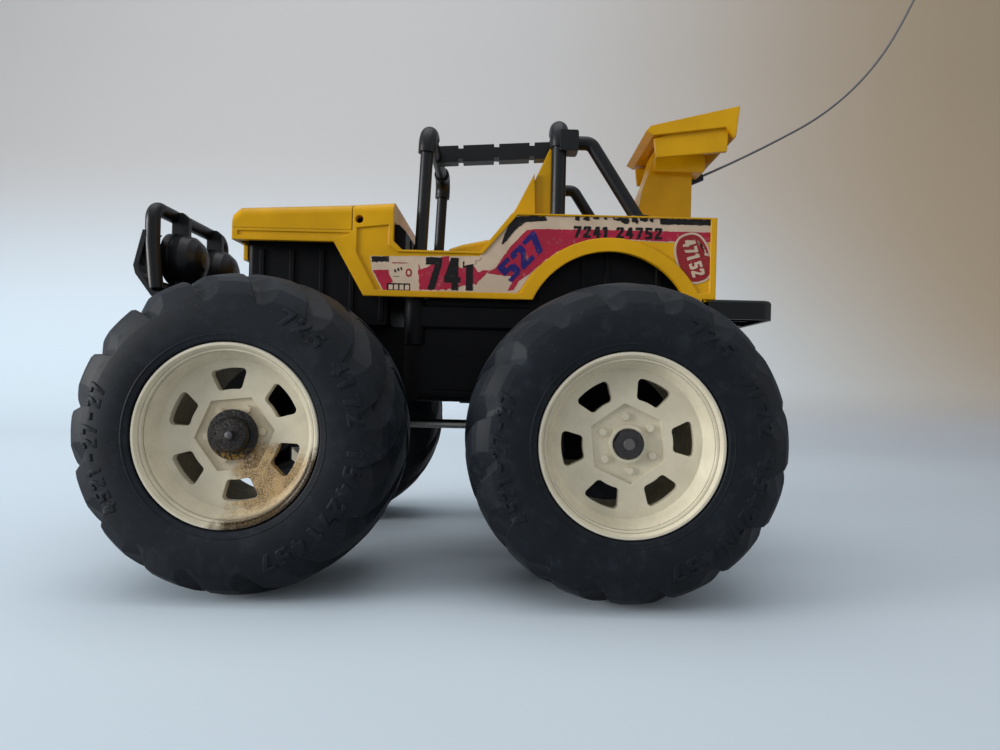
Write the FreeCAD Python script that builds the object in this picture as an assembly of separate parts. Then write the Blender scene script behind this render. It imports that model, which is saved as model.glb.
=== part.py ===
"""Remote control car: open off-road buggy on balloon tyres, four-wheel drive.

Millimetres. While modelling, x runs forward from the front axle, y to the left and z up
from the ground. save() shifts every piece so that the origin is on the ground under the
middle of the whole car, whip antenna included.
"""
import FreeCAD, Part
import math
import os

Vec = FreeCAD.Vector

# ---- running gear -------------------------------------------------------------------
wheelbase = 148.4
tyre_radius = 62.5
tyre_width = 61.0
tyre_wall = 4.0
lug_count = 16
lug_depth = 3.3
lug_sweep = 30.0                # degrees that a lug turns from the shoulder to the middle
lug_ramp = 2.3                  # how much longer a lug's trailing slope is than its steep face
wheel_face_y = 104.0            # outer lip of the wheel
rim_radius = 34.3
rim_seat_radius = 31.2
rim_wall = 1.8
rim_width = 58.0
disc_depth = 9.5                # from the lip back to the wheel's disc
disc_thickness = 3.5
window_count = 6
axle_z = tyre_radius
rear_axle_x = -wheelbase
axle_radius = 2.0
stub_radius = 2.5
kingpin_y = 62.0
kingpin_radius = 2.0
fit = 0.06                      # running clearance on radius
gap = 0.4                       # clearance between pieces that must not touch
steer_arm = 16.5
servo_arm_length = 12.0
prop_radius = 2.3

# ---- gears --------------------------------------------------------------------------
bevel_module = 0.7
crown_teeth = 24
pinion_teeth = 12
final_module = 0.8
axle_gear_teeth = 32
idler_pinion_teeth = 12
first_module = 0.6
idler_wheel_teeth = 38
motor_teeth = 10

# ---- chassis ------------------------------------------------------------------------
wall = 2.0
floor_z = 75.0
floor_thickness = 2.5
tub_half = 40.0
tub_top = 121.6
tub_front_x = -62.0
tub_rear_x = -191.0
frame_half = 24.0
frame_front_x = 40.0
bay_half = 34.5
bay_floor_z = 110.0
bay_front_x = 21.2
bay_rear_x = -47.0
bay_top = 150.0
bed_half = 38.0
bed_front_x = -108.0

# ---- body ---------------------------------------------------------------------------
body_half = 46.2
trim = 0.8                      # how far the trim bands stand out
nose_x = 22.5
tail_x = -195.0
sill_z = 122.0
flange_z = 145.9
hood_split_z = 151.1
hood_front_z = 160.7
hood_rear_z = 163.3
seam_x = -31.6
cowl_z = 164.6
cowl_x = -50.0
door_z = 143.0
door_rear_x = -89.0
deck_x = -103.0
deck_z = 160.6
fender_top_x = -23.2
fender_foot_x = -37.0
band = 5.1                      # width of the trim bands
arch_radius = 38.1
arch_band = 6.1
arch_x = -147.8
arch_z = 106.4
cockpit_half = body_half - 2.6
cockpit_floor_z = 128.0

# ---- roll cage and wing -------------------------------------------------------------
cage_half = 38.0
front_post_radius = 2.9
rear_post_radius = 3.4
cap_radius = 4.1
cap_drop = 10.5
front_hoop_foot_x = -59.6
front_hoop_top_x = -63.5
front_hoop_top_z = 200.0
rear_hoop_x = -124.0
rear_hoop_top_z = 203.8
cage_bend = 8.0
spine_height = 8.4
spine_width = 7.0
notch_width = 2.6
notch_depth = 1.6
brace_radius = 3.1
brace_z = 195.8
brace_foot_x = -163.5
wing_half = 26.0
wing_wall = 2.0
tower_rear_x = -193.2
tower_half = 10.0

# ---- bumpers, lamps and antenna -----------------------------------------------------
bar_x = 62.7
bar_half = 38.0
bar_radius = 3.25
bar_top_z = 161.8
plate_front_x = 69.8
lamp_y = 19.0
lamp_z = 140.7
lamp_radius = 12.5
lamp_front_x = 63.0
lamp_back_x = 46.0
bumper_rear_x = -225.6
bumper_half = 38.0
bumper_top_z = 125.4
bumper_bottom_z = 116.4
whip_radius = 0.6
whip_rise = 23.9                # degrees at which the whip leaves its socket
whip_start = (-190.0, 188.9)
whip_knots = ((-250.0, 219.3), (-299.6, 269.8), (-322.0, 323.6))
whip_tip_radius = 1.5

front_reach = plate_front_x
rear_reach = whip_knots[-1][0] - whip_tip_radius
origin_shift = -(front_reach + rear_reach) / 2


# ---- making solids ------------------------------------------------------------------
def box(x0, x1, y0, y1, z0, z1):
    """A block between two corners."""
    return Part.makeBox(x1 - x0, y1 - y0, z1 - z0, Vec(x0, y0, z0))


def rod(start, end, radius):
    """A round bar from one point to another."""
    start, end = Vec(*start), Vec(*end)
    return Part.makeCylinder(radius, (end - start).Length, start, end - start)


def pipe(start, end, outer, inner):
    """A round tube from one point to another."""
    return rod(start, end, outer).cut(rod(start, end, inner))


def side_prism(points, y0, y1):
    """An outline of (x, z) points, extruded across the car."""
    corners = [Vec(x, y0, z) for x, z in points]
    face = Part.Face(Part.makePolygon(corners + corners[:1]))
    return face.extrude(Vec(0, y1 - y0, 0))


def plan_prism(points, z0, z1):
    """An outline of (x, y) points, extruded upwards."""
    corners = [Vec(x, y, z0) for x, y in points]
    face = Part.Face(Part.makePolygon(corners + corners[:1]))
    return face.extrude(Vec(0, 0, z1 - z0))


def fuse(first, *others):
    """One solid from several."""
    return first.multiFuse(list(others)).removeSplitter()


def mirrored(shape):
    """The same piece on the car's other side."""
    return shape.mirror(Vec(0, 0, 0), Vec(0, 1, 0))


def rounded(shape, radius, chosen):
    """Fillet the edges that chosen(edge) picks."""
    return shape.makeFillet(radius, [edge for edge in shape.Edges if chosen(edge)])


def along(edge, axis):
    """True for a straight edge parallel to axis, given as 'x', 'y' or 'z'."""
    if not isinstance(edge.Curve, (Part.Line, Part.LineSegment)):
        return False
    direction = (edge.lastVertex().Point - edge.firstVertex().Point).normalize()
    return abs(getattr(direction, axis)) > 0.999


def bent_path(points, bend):
    """Straight runs through the points, joined by tangent arcs of radius bend."""
    points = [Vec(*point) for point in points]
    edges = []
    start = points[0]
    for before, corner, after in zip(points, points[1:], points[2:]):
        incoming = (corner - before).normalize()
        outgoing = (after - corner).normalize()
        turn = incoming.getAngle(outgoing)
        reach = bend * math.tan(turn / 2)
        inward = (outgoing - incoming).normalize()
        middle = corner + inward * (bend / math.cos(turn / 2) - bend)
        arc_start = corner - incoming * reach
        arc_end = corner + outgoing * reach
        edges.append(Part.LineSegment(start, arc_start).toShape())
        edges.append(Part.Arc(arc_start, middle, arc_end).toShape())
        start = arc_end
    edges.append(Part.LineSegment(start, points[-1]).toShape())
    return Part.Wire(edges)


def tube(points, radius, bend):
    """A round bar bent along the points."""
    path = bent_path(points, bend)
    direction = Vec(*points[1]) - Vec(*points[0])
    section = Part.Wire(Part.Circle(Vec(*points[0]), direction, radius).toShape())
    return path.makePipeShell([section], True, False)


def turned(profile, centre):
    """A profile of (radius, y) points, turned about the line through centre along y."""
    corners = [centre + Vec(radius, y, 0) for radius, y in profile]
    face = Part.Face(Part.makePolygon(corners + corners[:1]))
    return face.revolve(centre, Vec(0, 1, 0), 360)


def save(name, *solids):
    """Write one node, shifted to the part's origin."""
    shape = solids[0].copy() if len(solids) == 1 else Part.makeCompound(list(solids))
    shape.translate(Vec(origin_shift, 0, 0))
    shape.exportStep("parts/" + name + ".step")


# ---- gears --------------------------------------------------------------------------
def toothed_wire(teeth, root, tip, root_half, tip_half, place):
    """A closed outline of straight-sided teeth; place(radius, angle) gives each point."""
    corners = []
    for tooth in range(teeth):
        centre = 2 * math.pi * tooth / teeth
        corners.append(place(root, centre - root_half))
        corners.append(place(tip, centre - tip_half))
        corners.append(place(tip, centre + tip_half))
        corners.append(place(root, centre + root_half))
    return Part.makePolygon(corners + corners[:1])


def spur_gear(teeth, module, x, z, y0, y1, phase, bore):
    """A spur gear across the car; one tooth stands at angle phase from x towards z."""
    pitch_radius = teeth * module / 2

    def place(radius, angle):
        return Vec(x + radius * math.cos(angle + phase), y0,
                   z + radius * math.sin(angle + phase))

    step = math.pi / teeth
    wire = toothed_wire(teeth, pitch_radius - 1.05 * module, pitch_radius + 0.8 * module,
                        0.66 * step, 0.24 * step, place)
    gear = Part.Face(wire).extrude(Vec(0, y1 - y0, 0))
    return gear.cut(rod((x, y0 - 1, z), (x, y1 + 1, z), bore))


def bevel_gear(teeth, mate_teeth, module, face_share, phase):
    """A bevel gear about z with its cone's tip at the origin and its big end upwards."""
    big_end = mate_teeth * module / 2
    cone = math.atan2(teeth, mate_teeth)
    distance = math.hypot(teeth, mate_teeth) * module / 2
    tip_cone = cone + 0.8 * module / distance
    root_cone = cone - 1.05 * module / distance
    step = math.pi / teeth

    def section(height):
        def place(cone_angle, angle):
            radius = height * math.tan(cone_angle)
            return Vec(radius * math.cos(angle + phase), radius * math.sin(angle + phase),
                       height)
        return toothed_wire(teeth, root_cone, tip_cone, 0.62 * step, 0.24 * step, place)

    small_end = big_end * (1 - face_share)
    return Part.makeLoft([section(small_end), section(big_end)], True, True)


crown_big_end = pinion_teeth * bevel_module / 2
pinion_big_end = crown_teeth * bevel_module / 2
bevel_face_share = 0.32


def crown_gear(axle_x, side, bore):
    """The bevel wheel on an axle, on the left (side 1) or right (side -1)."""
    gear = bevel_gear(crown_teeth, pinion_teeth, bevel_module, bevel_face_share, 0.0)
    back = Part.makeCylinder(6.5, 2.6, Vec(0, 0, crown_big_end))
    gear = fuse(gear, back).cut(Part.makeCylinder(bore, 30, Vec(0, 0, -5)))
    gear.rotate(Vec(0, 0, 0), Vec(1, 0, 0), -90 * side)
    gear.translate(Vec(axle_x, 0, axle_z))
    return gear


def prop_pinion(axle_x, side):
    """The bevel pinion on the propeller shaft, ahead of (1) or behind (-1) an axle."""
    gear = bevel_gear(pinion_teeth, crown_teeth, bevel_module, bevel_face_share,
                      math.pi / pinion_teeth)
    back = Part.makeCylinder(3.4, 2.0, Vec(0, 0, pinion_big_end))
    gear = fuse(gear, back)
    gear.rotate(Vec(0, 0, 0), Vec(0, 1, 0), 90 * side)
    gear.translate(Vec(axle_x, 0, axle_z))
    return gear


# ---- wheels and tyres ---------------------------------------------------------------
hub_floor_depth = 11.0
hub_ring_radius = 7.2
hub_ring_depth = 8.5
nut_flats = 10.0
peg_radius = 1.5
peg_circle = 10.35
hex_corner = 15.3
window_inner = 17.1
window_outer = 25.2
window_half_angle = 16.5
front_wheel_turn = 36.5         # degrees that the wheels stand turned at rest
rear_wheel_turn = 5.8


def window_cutter():
    """One rounded window of the wheel's disc, about y, before it is turned to its place."""
    half = math.radians(window_half_angle)

    def at(radius, angle):
        return Vec(radius * math.cos(angle), 0, radius * math.sin(angle))

    inner_half = half * 0.86
    edges = [Part.Arc(at(window_inner, -inner_half), at(window_inner, 0),
                      at(window_inner, inner_half)).toShape(),
             Part.LineSegment(at(window_inner, inner_half), at(window_outer, half)).toShape(),
             Part.Arc(at(window_outer, half), at(window_outer, 0),
                      at(window_outer, -half)).toShape(),
             Part.LineSegment(at(window_outer, -half),
                              at(window_inner, -inner_half)).toShape()]
    cutter = Part.Face(Part.Wire(edges)).extrude(Vec(0, -30, 0))
    return rounded(cutter, 1.6, lambda edge: along(edge, "y"))


def rim(bore, phase):
    """A dish wheel about y, its outer lip at y = 0 and its back towards negative y."""
    disc_y = -disc_depth
    back_y = disc_y - disc_thickness
    inner = rim_seat_radius - rim_wall
    profile = [(bore, -hub_floor_depth), (hub_ring_radius - 1.3, -hub_floor_depth),
               (hub_ring_radius - 1.3, -hub_ring_depth), (hub_ring_radius, -hub_ring_depth),
               (hub_ring_radius, disc_y), (rim_seat_radius - 3.0, disc_y),
               (rim_radius - 1.7, -0.9), (rim_radius - 1.2, 0.0), (rim_radius - 0.3, 0.0),
               (rim_radius, -0.4), (rim_radius, -1.5), (rim_seat_radius, -1.9),
               (rim_seat_radius, -rim_width + 1.9), (rim_radius, -rim_width + 1.5),
               (rim_radius, -rim_width), (inner, -rim_width), (inner, back_y - 1.5),
               (inner - 1.5, back_y), (hub_ring_radius - 1.2, back_y),
               (hub_ring_radius - 1.6, back_y - 3.0), (bore, back_y - 3.0)]
    wheel = turned(profile, Vec(0, 0, 0))
    hexagon = [(hex_corner * math.cos(math.radians(60 * corner + 30)),
                hex_corner * math.sin(math.radians(60 * corner + 30))) for corner in range(6)]
    pocket = side_prism(hexagon, -hub_floor_depth, disc_y + 1)
    pocket = pocket.cut(rod((0, -hub_floor_depth - 1, 0), (0, 0, 0), hub_ring_radius))
    windows = []
    pegs = []
    for place in range(window_count):
        turn = 360.0 * place / window_count
        window = window_cutter()
        window.rotate(Vec(0, 0, 0), Vec(0, 1, 0), turn)
        windows.append(window)
        angle = math.radians(turn + 30)
        peg_x = peg_circle * math.cos(angle)
        peg_z = peg_circle * math.sin(angle)
        pegs.append(rod((peg_x, -hub_floor_depth - 0.5, peg_z),
                        (peg_x, disc_y - 0.2, peg_z), peg_radius))
    wheel = fuse(wheel.cut([pocket] + windows), *pegs)
    wheel.rotate(Vec(0, 0, 0), Vec(0, 1, 0), phase)
    return wheel


crown_y = -rim_width / 2
tread_edges = ((0.0, 0.0), (0.26, 0.3), (0.5, 1.1), (0.66, 2.1), (0.79, 3.7), (0.87, 5.6),
               (0.92, 8.3), (0.955, 10.3), (0.98, 13.0))
groove_stops = (1.06, 0.86, 0.62, 0.3, -0.1)


def tread_radius(share):
    """Outer radius of the tread at a share of the half width out from the tyre's middle."""
    for (near, near_drop), (far, far_drop) in zip(tread_edges, tread_edges[1:]):
        if share <= far:
            break
    slope = (far_drop - near_drop) / (far - near)
    return tyre_radius - near_drop - slope * (min(share, far) - near)


def tyre_profile():
    """Closed half-section of the tyre, as a face in the plane x, y."""
    half_width = tyre_width / 2
    seat = rim_seat_radius + 0.1
    bead = [(seat, crown_y + rim_width - 35.0), (seat, -2.1), (rim_radius + 0.3, -1.9),
            (rim_radius + 0.7, 0.4)]
    tread = [(tread_radius(share), crown_y + share * half_width) for share, _ in tread_edges]
    side_mid = (rim_radius + 8.2, crown_y + half_width)
    hollow = [(seat, bead[0][1]), (rim_radius + 5.0, crown_y + half_width - tyre_wall),
              (rim_radius + 12.0, crown_y + half_width - tyre_wall - 1.6),
              (tyre_radius - lug_depth - tyre_wall - 2.4, crown_y + half_width * 0.62),
              (tyre_radius - lug_depth - tyre_wall, crown_y)]

    def left(point):
        return Vec(point[0], point[1], 0)

    def right(point):
        return Vec(point[0], 2 * crown_y - point[1], 0)

    edges = []
    for side in (left, right):
        for run in (bead, tread, hollow):
            for start, end in zip(run, run[1:]):
                edges.append(Part.LineSegment(side(start), side(end)).toShape())
        edges.append(Part.Arc(side(bead[-1]), side(side_mid), side(tread[-1])).toShape())
    return Part.Face(Part.Wire(Part.__sortEdges__(edges)))


def groove_cutter(side):
    """One groove between two lugs, from the shoulder to just past the tyre's middle.

    Its leading wall is steep and its trailing wall a long slope, so the lugs lap like scales.
    """
    sections = []
    clear = 1.5
    for share in groove_stops:
        progress = (groove_stops[0] - share) / (groove_stops[0] - groove_stops[-1])
        y = crown_y + side * share * tyre_width / 2
        surface = tread_radius(abs(share))
        depth = lug_depth * (0.86 + 0.14 * progress)
        angle = -math.radians(lug_sweep) * progress ** 0.85
        half_width = math.radians(2.7 - 0.9 * progress)
        steep = 0.6 + 0.4 * (depth + clear) / depth
        slope = 0.6 + lug_ramp * (depth + clear) / depth
        corners = []
        for reach, width in ((-depth, 0.6), (-depth, -0.6), (clear, -steep), (clear, slope)):
            turn = angle + half_width * width
            corners.append(Vec((surface + reach) * math.cos(turn), y,
                               (surface + reach) * math.sin(turn)))
        sections.append(Part.makePolygon(corners + corners[:1]))
    return Part.makeLoft(sections, True, True)


def tyre():
    """A balloon tyre with swept lugs, about y, in the same place as the rim."""
    solid = tyre_profile().revolve(Vec(0, 0, 0), Vec(0, 1, 0), 360)
    pitch = 360.0 / lug_count
    grooves = []
    for side in (1, -1):
        for place in range(lug_count):
            groove = groove_cutter(side)
            groove.rotate(Vec(0, 0, 0), Vec(0, 1, 0), pitch * (place + 0.25 * side))
            grooves.append(groove)
    return solid.cut(grooves)


def at_wheel(shape, axle_x, side):
    """A piece made about y at the lip plane, moved to a wheel; side 1 is the left."""
    piece = shape.copy()
    if side < 0:
        piece = mirrored(piece)
    piece.translate(Vec(axle_x, side * wheel_face_y, axle_z))
    return piece


def hub_nut():
    """The hexagon nut that holds a rear wheel."""
    corner = nut_flats / math.sqrt(3)
    hexagon = [(corner * math.cos(math.radians(60 * step)),
                corner * math.sin(math.radians(60 * step))) for step in range(6)]
    nut = side_prism(hexagon, -hub_floor_depth, -hub_floor_depth + 4.0)
    return nut.cut(rod((0, -20, 0), (0, 0, 0), axle_radius))


def hub_cap():
    """The black round cap on a front hub: a flange, a drum and a domed nose."""
    base = -hub_floor_depth + 2.6
    profile = [(0, base + 4.6), (1.7, base + 4.4), (1.7, base + 3.6), (5.8, base + 3.2),
               (6.75, base + 2.0), (6.75, base + 0.9), (9.5, base + 0.6), (9.5, base),
               (5.6, base), (5.6, -hub_floor_depth + 0.1), (0, -hub_floor_depth + 0.1)]
    return turned(profile, Vec(0, 0, 0))


# ---- rear drive ---------------------------------------------------------------------
idler_x = rear_axle_x - 5.0
idler_reach = (axle_gear_teeth + idler_pinion_teeth) * final_module / 2
idler_z = axle_z + math.sqrt(idler_reach ** 2 - (rear_axle_x - idler_x) ** 2)
motor_reach = (idler_wheel_teeth + motor_teeth) * first_module / 2
motor_x = idler_x - 12.0
motor_z = idler_z + math.sqrt(motor_reach ** 2 - (idler_x - motor_x) ** 2)
motor_radius = 10.0
motor_half = 14.0
motor_shaft = 1.0
idler_pin = 1.5
final_y = (-26.0, -21.5)
first_y = (-19.5, -16.5)
case_front = rear_axle_x + 17.0
case_rear = rear_axle_x - 33.0
case_right = -30.0
case_left = 17.0
case_bottom = 47.0
case_top = 101.0
bush_radius = 3.0
bush_length = 6.0
tube_radius = 5.0
rear_tube_y = 80.0


def rear_case_block():
    """The outside of the rear gear case, which also cuts its place in the tub floor."""
    return box(case_rear, case_front, case_right, case_left, case_bottom, case_top)


def rear_gear_case():
    """Gear case, axle tubes and the fixed pin of the idler."""
    inner = box(case_rear + wall, case_front - wall, case_right + wall, case_left - wall,
                case_bottom + wall, case_top - wall)
    outer = rounded(rear_case_block(), 2.0, lambda edge: edge.BoundBox.ZMax < case_bottom + 1)
    left_tube = rod((rear_axle_x, case_left - wall, axle_z),
                    (rear_axle_x, rear_tube_y, axle_z), tube_radius)
    right_tube = rod((rear_axle_x, case_right + wall, axle_z),
                     (rear_axle_x, -rear_tube_y, axle_z), tube_radius)
    webs = [box(rear_axle_x - 1.5, rear_axle_x + 1.5, case_left, tub_half, axle_z, floor_z),
            box(rear_axle_x - 1.5, rear_axle_x + 1.5, -tub_half, case_right, axle_z, floor_z)]
    pin = rod((idler_x, case_right + wall, idler_z), (idler_x, -15.0, idler_z), idler_pin)
    case = fuse(outer.cut(inner), left_tube, right_tube, *webs)
    case = case.cut(rod((rear_axle_x, -90, axle_z), (rear_axle_x, 90, axle_z), bush_radius))
    case = case.cut(rod((case_front - 5, 0, axle_z), (case_front + 5, 0, axle_z),
                        prop_radius + fit))
    return fuse(case, pin)


def bushes(centre_x, reach):
    """The plain bearings in the outer ends of an axle's two tubes."""
    left = pipe((centre_x, reach - bush_length, axle_z), (centre_x, reach, axle_z),
                bush_radius, axle_radius + fit)
    return [left, mirrored(left)]


def idler_gear():
    """The double gear between the motor and the axle."""
    big = spur_gear(idler_wheel_teeth, first_module, idler_x, idler_z, first_y[0], first_y[1],
                    0.0, idler_pin + fit)
    mesh = math.atan2(axle_z - idler_z, rear_axle_x - idler_x)
    small = spur_gear(idler_pinion_teeth, final_module, idler_x, idler_z, final_y[0] - 0.2,
                      first_y[0], mesh, idler_pin + fit)
    return fuse(big, small)


def axle_gear():
    """The large gear on the rear axle, a gap facing the idler's tooth."""
    mesh = math.atan2(idler_z - axle_z, idler_x - rear_axle_x)
    gear = spur_gear(axle_gear_teeth, final_module, rear_axle_x, axle_z, final_y[0],
                     final_y[1], mesh + math.pi / axle_gear_teeth, axle_radius)
    hub = pipe((rear_axle_x, final_y[1] - 0.5, axle_z), (rear_axle_x, final_y[1] + 3.0, axle_z),
               5.0, axle_radius)
    holes = []
    for step in range(6):
        angle = math.radians(60 * step)
        x = rear_axle_x + 8.2 * math.cos(angle)
        z = axle_z + 8.2 * math.sin(angle)
        holes.append(rod((x, final_y[0] - 1, z), (x, final_y[1] + 1, z), 1.8))
    return fuse(gear.cut(holes), hub)


def motor_pinion():
    """The small gear on the motor shaft, a gap facing the idler wheel's tooth."""
    idler_tooth = 2 * math.pi / idler_wheel_teeth
    towards = math.atan2(motor_z - idler_z, motor_x - idler_x)
    offset = towards / idler_tooth - round(towards / idler_tooth)
    turn = towards + math.pi + math.pi / motor_teeth
    turn += offset * idler_tooth * idler_wheel_teeth / motor_teeth
    return spur_gear(motor_teeth, first_module, motor_x, motor_z, first_y[0] - 0.5,
                     first_y[1] + 0.5, turn, motor_shaft)


def motor_can():
    """The motor's steel case with its bearings, held in the gear case by a cradle."""
    can = pipe((motor_x, -motor_half, motor_z), (motor_x, motor_half, motor_z),
               motor_radius, motor_radius - 1.2)
    ends = []
    for side in (-1, 1):
        ends.append(pipe((motor_x, side * (motor_half - 1.6), motor_z),
                         (motor_x, side * motor_half, motor_z), motor_radius - 1.2,
                         motor_shaft + fit))
    foot = box(motor_x - 4, motor_x + 4, -6, 6, motor_z, case_top - wall)
    foot = foot.cut(rod((motor_x, -20, motor_z), (motor_x, 20, motor_z), motor_radius - 0.5))
    return fuse(can, foot, *ends)


def motor_rotor():
    """Armature on its shaft, which carries the pinion."""
    shaft = rod((motor_x, first_y[0] - 1.5, motor_z), (motor_x, motor_half - 0.4, motor_z),
                motor_shaft)
    stacks = []
    for start, end, radius in ((-9.5, 6.5, 7.6), (7.5, 11.0, 3.6)):
        stacks.append(rod((motor_x, start, motor_z), (motor_x, end, motor_z), radius))
    slots = []
    for step in range(3):
        angle = math.radians(120 * step + 90)
        x = motor_x + 7.6 * math.cos(angle)
        z = motor_z + 7.6 * math.sin(angle)
        slots.append(rod((x, -10, z), (x, 7, z), 1.7))
    return fuse(shaft, stacks[0].cut(slots), stacks[1])


# ---- front drive and steering -------------------------------------------------------
front_case_front = 11.6
front_case_rear = -15.0
front_case_half = 12.0
yoke_y = 46.0
yoke_top = 18.0
yoke_arm = 3.0
yoke_half = 6.5
cup_inner = 5.5
cup_outer = 8.0
cup_mouth_y = 55.5
cup_floor_y = 66.4
cup_end_y = 68.0
cross_pin = 1.0
cross_reach = 7.2
housing_inner = 8.8
housing_outer = 11.5
bearing_end_y = 87.5
arm_pin = 1.5
arm_pin_gap = 0.35
rod_bottom = 56.0
rod_top = 58.4
servo_x = steer_arm + servo_arm_length
servo_shaft = 2.5
rod_guide_y = 16.0


def front_gear_case():
    """Front gear case, axle tubes, steering yokes and the tie rod's guides."""
    outer = box(front_case_rear, front_case_front, -front_case_half, front_case_half,
                axle_z - 13.0, floor_z)
    outer = rounded(outer, 2.0, lambda edge: edge.BoundBox.ZMax < axle_z - 12)
    inner = box(front_case_rear + wall, front_case_front - 1.4, -front_case_half + wall,
                front_case_half - wall, axle_z - 11.0, floor_z - wall)
    sides = []
    for side in (1, -1):
        sides.append(rod((0, side * (front_case_half - wall), axle_z),
                         (0, side * yoke_y, axle_z), tube_radius))
        beam = box(-7, 7, front_case_half - wall, yoke_y + yoke_arm, axle_z + 3, floor_z)
        back = box(-yoke_half, yoke_half, yoke_y, yoke_y + yoke_arm, axle_z - yoke_top,
                   axle_z + yoke_top)
        top = box(-yoke_half, yoke_half, yoke_y, kingpin_y + 4.5,
                  axle_z + yoke_top - yoke_arm, axle_z + yoke_top)
        bottom = box(-yoke_half, yoke_half, yoke_y, kingpin_y + 4.5,
                     axle_z - yoke_top, axle_z - yoke_top + yoke_arm)
        guide = box(12.7, 20.3, rod_guide_y, rod_guide_y + 4, rod_bottom - 1.6, floor_z)
        channel = box(14.5 - gap, 18.5 + gap, rod_guide_y - 1, rod_guide_y + 5,
                      rod_bottom - gap, rod_top + gap)
        for piece in (beam, back, top, bottom, guide.cut(channel)):
            sides.append(piece if side > 0 else mirrored(piece))
    case = fuse(outer.cut(inner), *sides)
    case = case.cut(rod((0, -60, axle_z), (0, 60, axle_z), bush_radius))
    case = case.cut(rod((front_case_rear - 5, 0, axle_z), (front_case_rear + 5, 0, axle_z),
                        prop_radius + fit))
    for side in (1, -1):
        case = case.cut(rod((0, side * kingpin_y, 0), (0, side * kingpin_y, 100),
                            kingpin_radius + fit))
    return case


def front_axle_shaft():
    """The driven cross shaft with a ball and a cross pin at each end."""
    pieces = []
    for side in (1, -1):
        pieces.append(Part.makeSphere(3.6, Vec(0, side * kingpin_y, axle_z)))
        pieces.append(rod((0, side * kingpin_y, axle_z - cross_reach),
                          (0, side * kingpin_y, axle_z + cross_reach), cross_pin))
    shaft = rod((0, -kingpin_y, axle_z), (0, kingpin_y, axle_z), axle_radius)
    return fuse(shaft, *pieces)


def stub():
    """The wheel's own shaft, left side: a slotted cup round the kingpin line."""
    cup = rod((0, cup_mouth_y, axle_z), (0, cup_end_y, axle_z), cup_outer)
    cup = cup.cut(rod((0, cup_mouth_y - 1, axle_z), (0, cup_floor_y, axle_z), cup_inner))
    slot_half = cross_pin + 0.5
    slot = box(-slot_half, slot_half, cup_mouth_y - 1, cup_floor_y, axle_z - 10, axle_z + 10)
    shaft = rod((0, cup_floor_y, axle_z), (0, wheel_face_y - hub_floor_depth, axle_z),
                stub_radius)
    return fuse(cup.cut(slot), shaft)


def knuckle():
    """Left steering knuckle: bearing barrel, cup housing, kingpins and steering arm."""
    housing = pipe((0, cup_mouth_y + 0.5, axle_z), (0, cup_end_y + 0.5, axle_z),
                   housing_outer, housing_inner)
    web = rod((0, cup_end_y + 0.4, axle_z), (0, cup_end_y + 3.4, axle_z), housing_outer)
    barrel = rod((0, cup_end_y + 3, axle_z), (0, bearing_end_y, axle_z), 6.5)
    pieces = [web, barrel]
    for side in (1, -1):
        foot = rod((0, kingpin_y, axle_z + side * (housing_outer - 1.5)),
                   (0, kingpin_y, axle_z + side * (yoke_top - yoke_arm - gap)), 4.2)
        foot = foot.cut(rod((0, 50, axle_z), (0, 75, axle_z), housing_inner + 0.5))
        pieces.append(foot)
        pieces.append(rod((0, kingpin_y, axle_z + side * (housing_outer - 1)),
                          (0, kingpin_y, axle_z + side * yoke_top), kingpin_radius))
    arm = box(3, steer_arm + 2.8, kingpin_y - 2.8, kingpin_y + 2.8, axle_z - 11.0,
              axle_z - 8.0)
    arm = rounded(arm, 2.4, lambda edge: along(edge, "z") and edge.BoundBox.XMin > 5)
    arm = arm.cut(rod((0, 50, axle_z), (0, 75, axle_z), housing_inner + 0.5))
    arm_tip = rod((steer_arm, kingpin_y, axle_z - 9), (steer_arm, kingpin_y, rod_top + 1.2),
                  arm_pin)
    body = fuse(housing, *pieces, arm, arm_tip)
    return body.cut(rod((0, 60, axle_z), (0, 95, axle_z), stub_radius + fit))


def tie_rod():
    """The bar that joins both steering arms to the servo's pin."""
    reach = kingpin_y + 4.4
    bar = box(14.5, 18.5, -reach, reach, rod_bottom, rod_top)
    slot = arm_pin + arm_pin_gap
    middle = box(12.8, 22.4, -5.5, 5.5, rod_bottom, rod_top)
    eyes = [middle]
    slots = [box(steer_arm - slot, steer_arm + 1.6 + slot, -slot, slot, 50, 65)]
    for side in (1, -1):
        y = side * kingpin_y
        eyes.append(box(12.4, 20.4, y - 4.4, y + 4.4, rod_bottom, rod_top))
        slots.append(box(steer_arm - 1.1 - slot, steer_arm + slot, y - slot, y + slot, 50, 65))
    bar = fuse(bar, *eyes)
    bar = rounded(bar, 1.5, lambda edge: along(edge, "z") and
                  (abs(edge.BoundBox.XMax - 20.4) < 0.01 or edge.BoundBox.XMax > 22))
    return bar.cut(slots)


def servo():
    """The steering servo on the frame floor."""
    body = box(servo_x - 9, servo_x + 9.5, -8, 8, floor_z + floor_thickness, floor_z + 22)
    ears = box(servo_x - 9, servo_x + 9.5, -13, 13, floor_z + 16, floor_z + 18)
    legs = []
    for side in (1, -1):
        leg = box(servo_x - 9, servo_x + 9.5, 9.5, 13, floor_z + floor_thickness,
                  floor_z + 16)
        legs.append(leg if side > 0 else mirrored(leg))
    body = fuse(rounded(body, 1.0, lambda edge: edge.BoundBox.ZMin > floor_z + 21), ears, *legs)
    return body.cut(rod((servo_x, 0, 60), (servo_x, 0, floor_z + 8), servo_shaft + fit))


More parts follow.
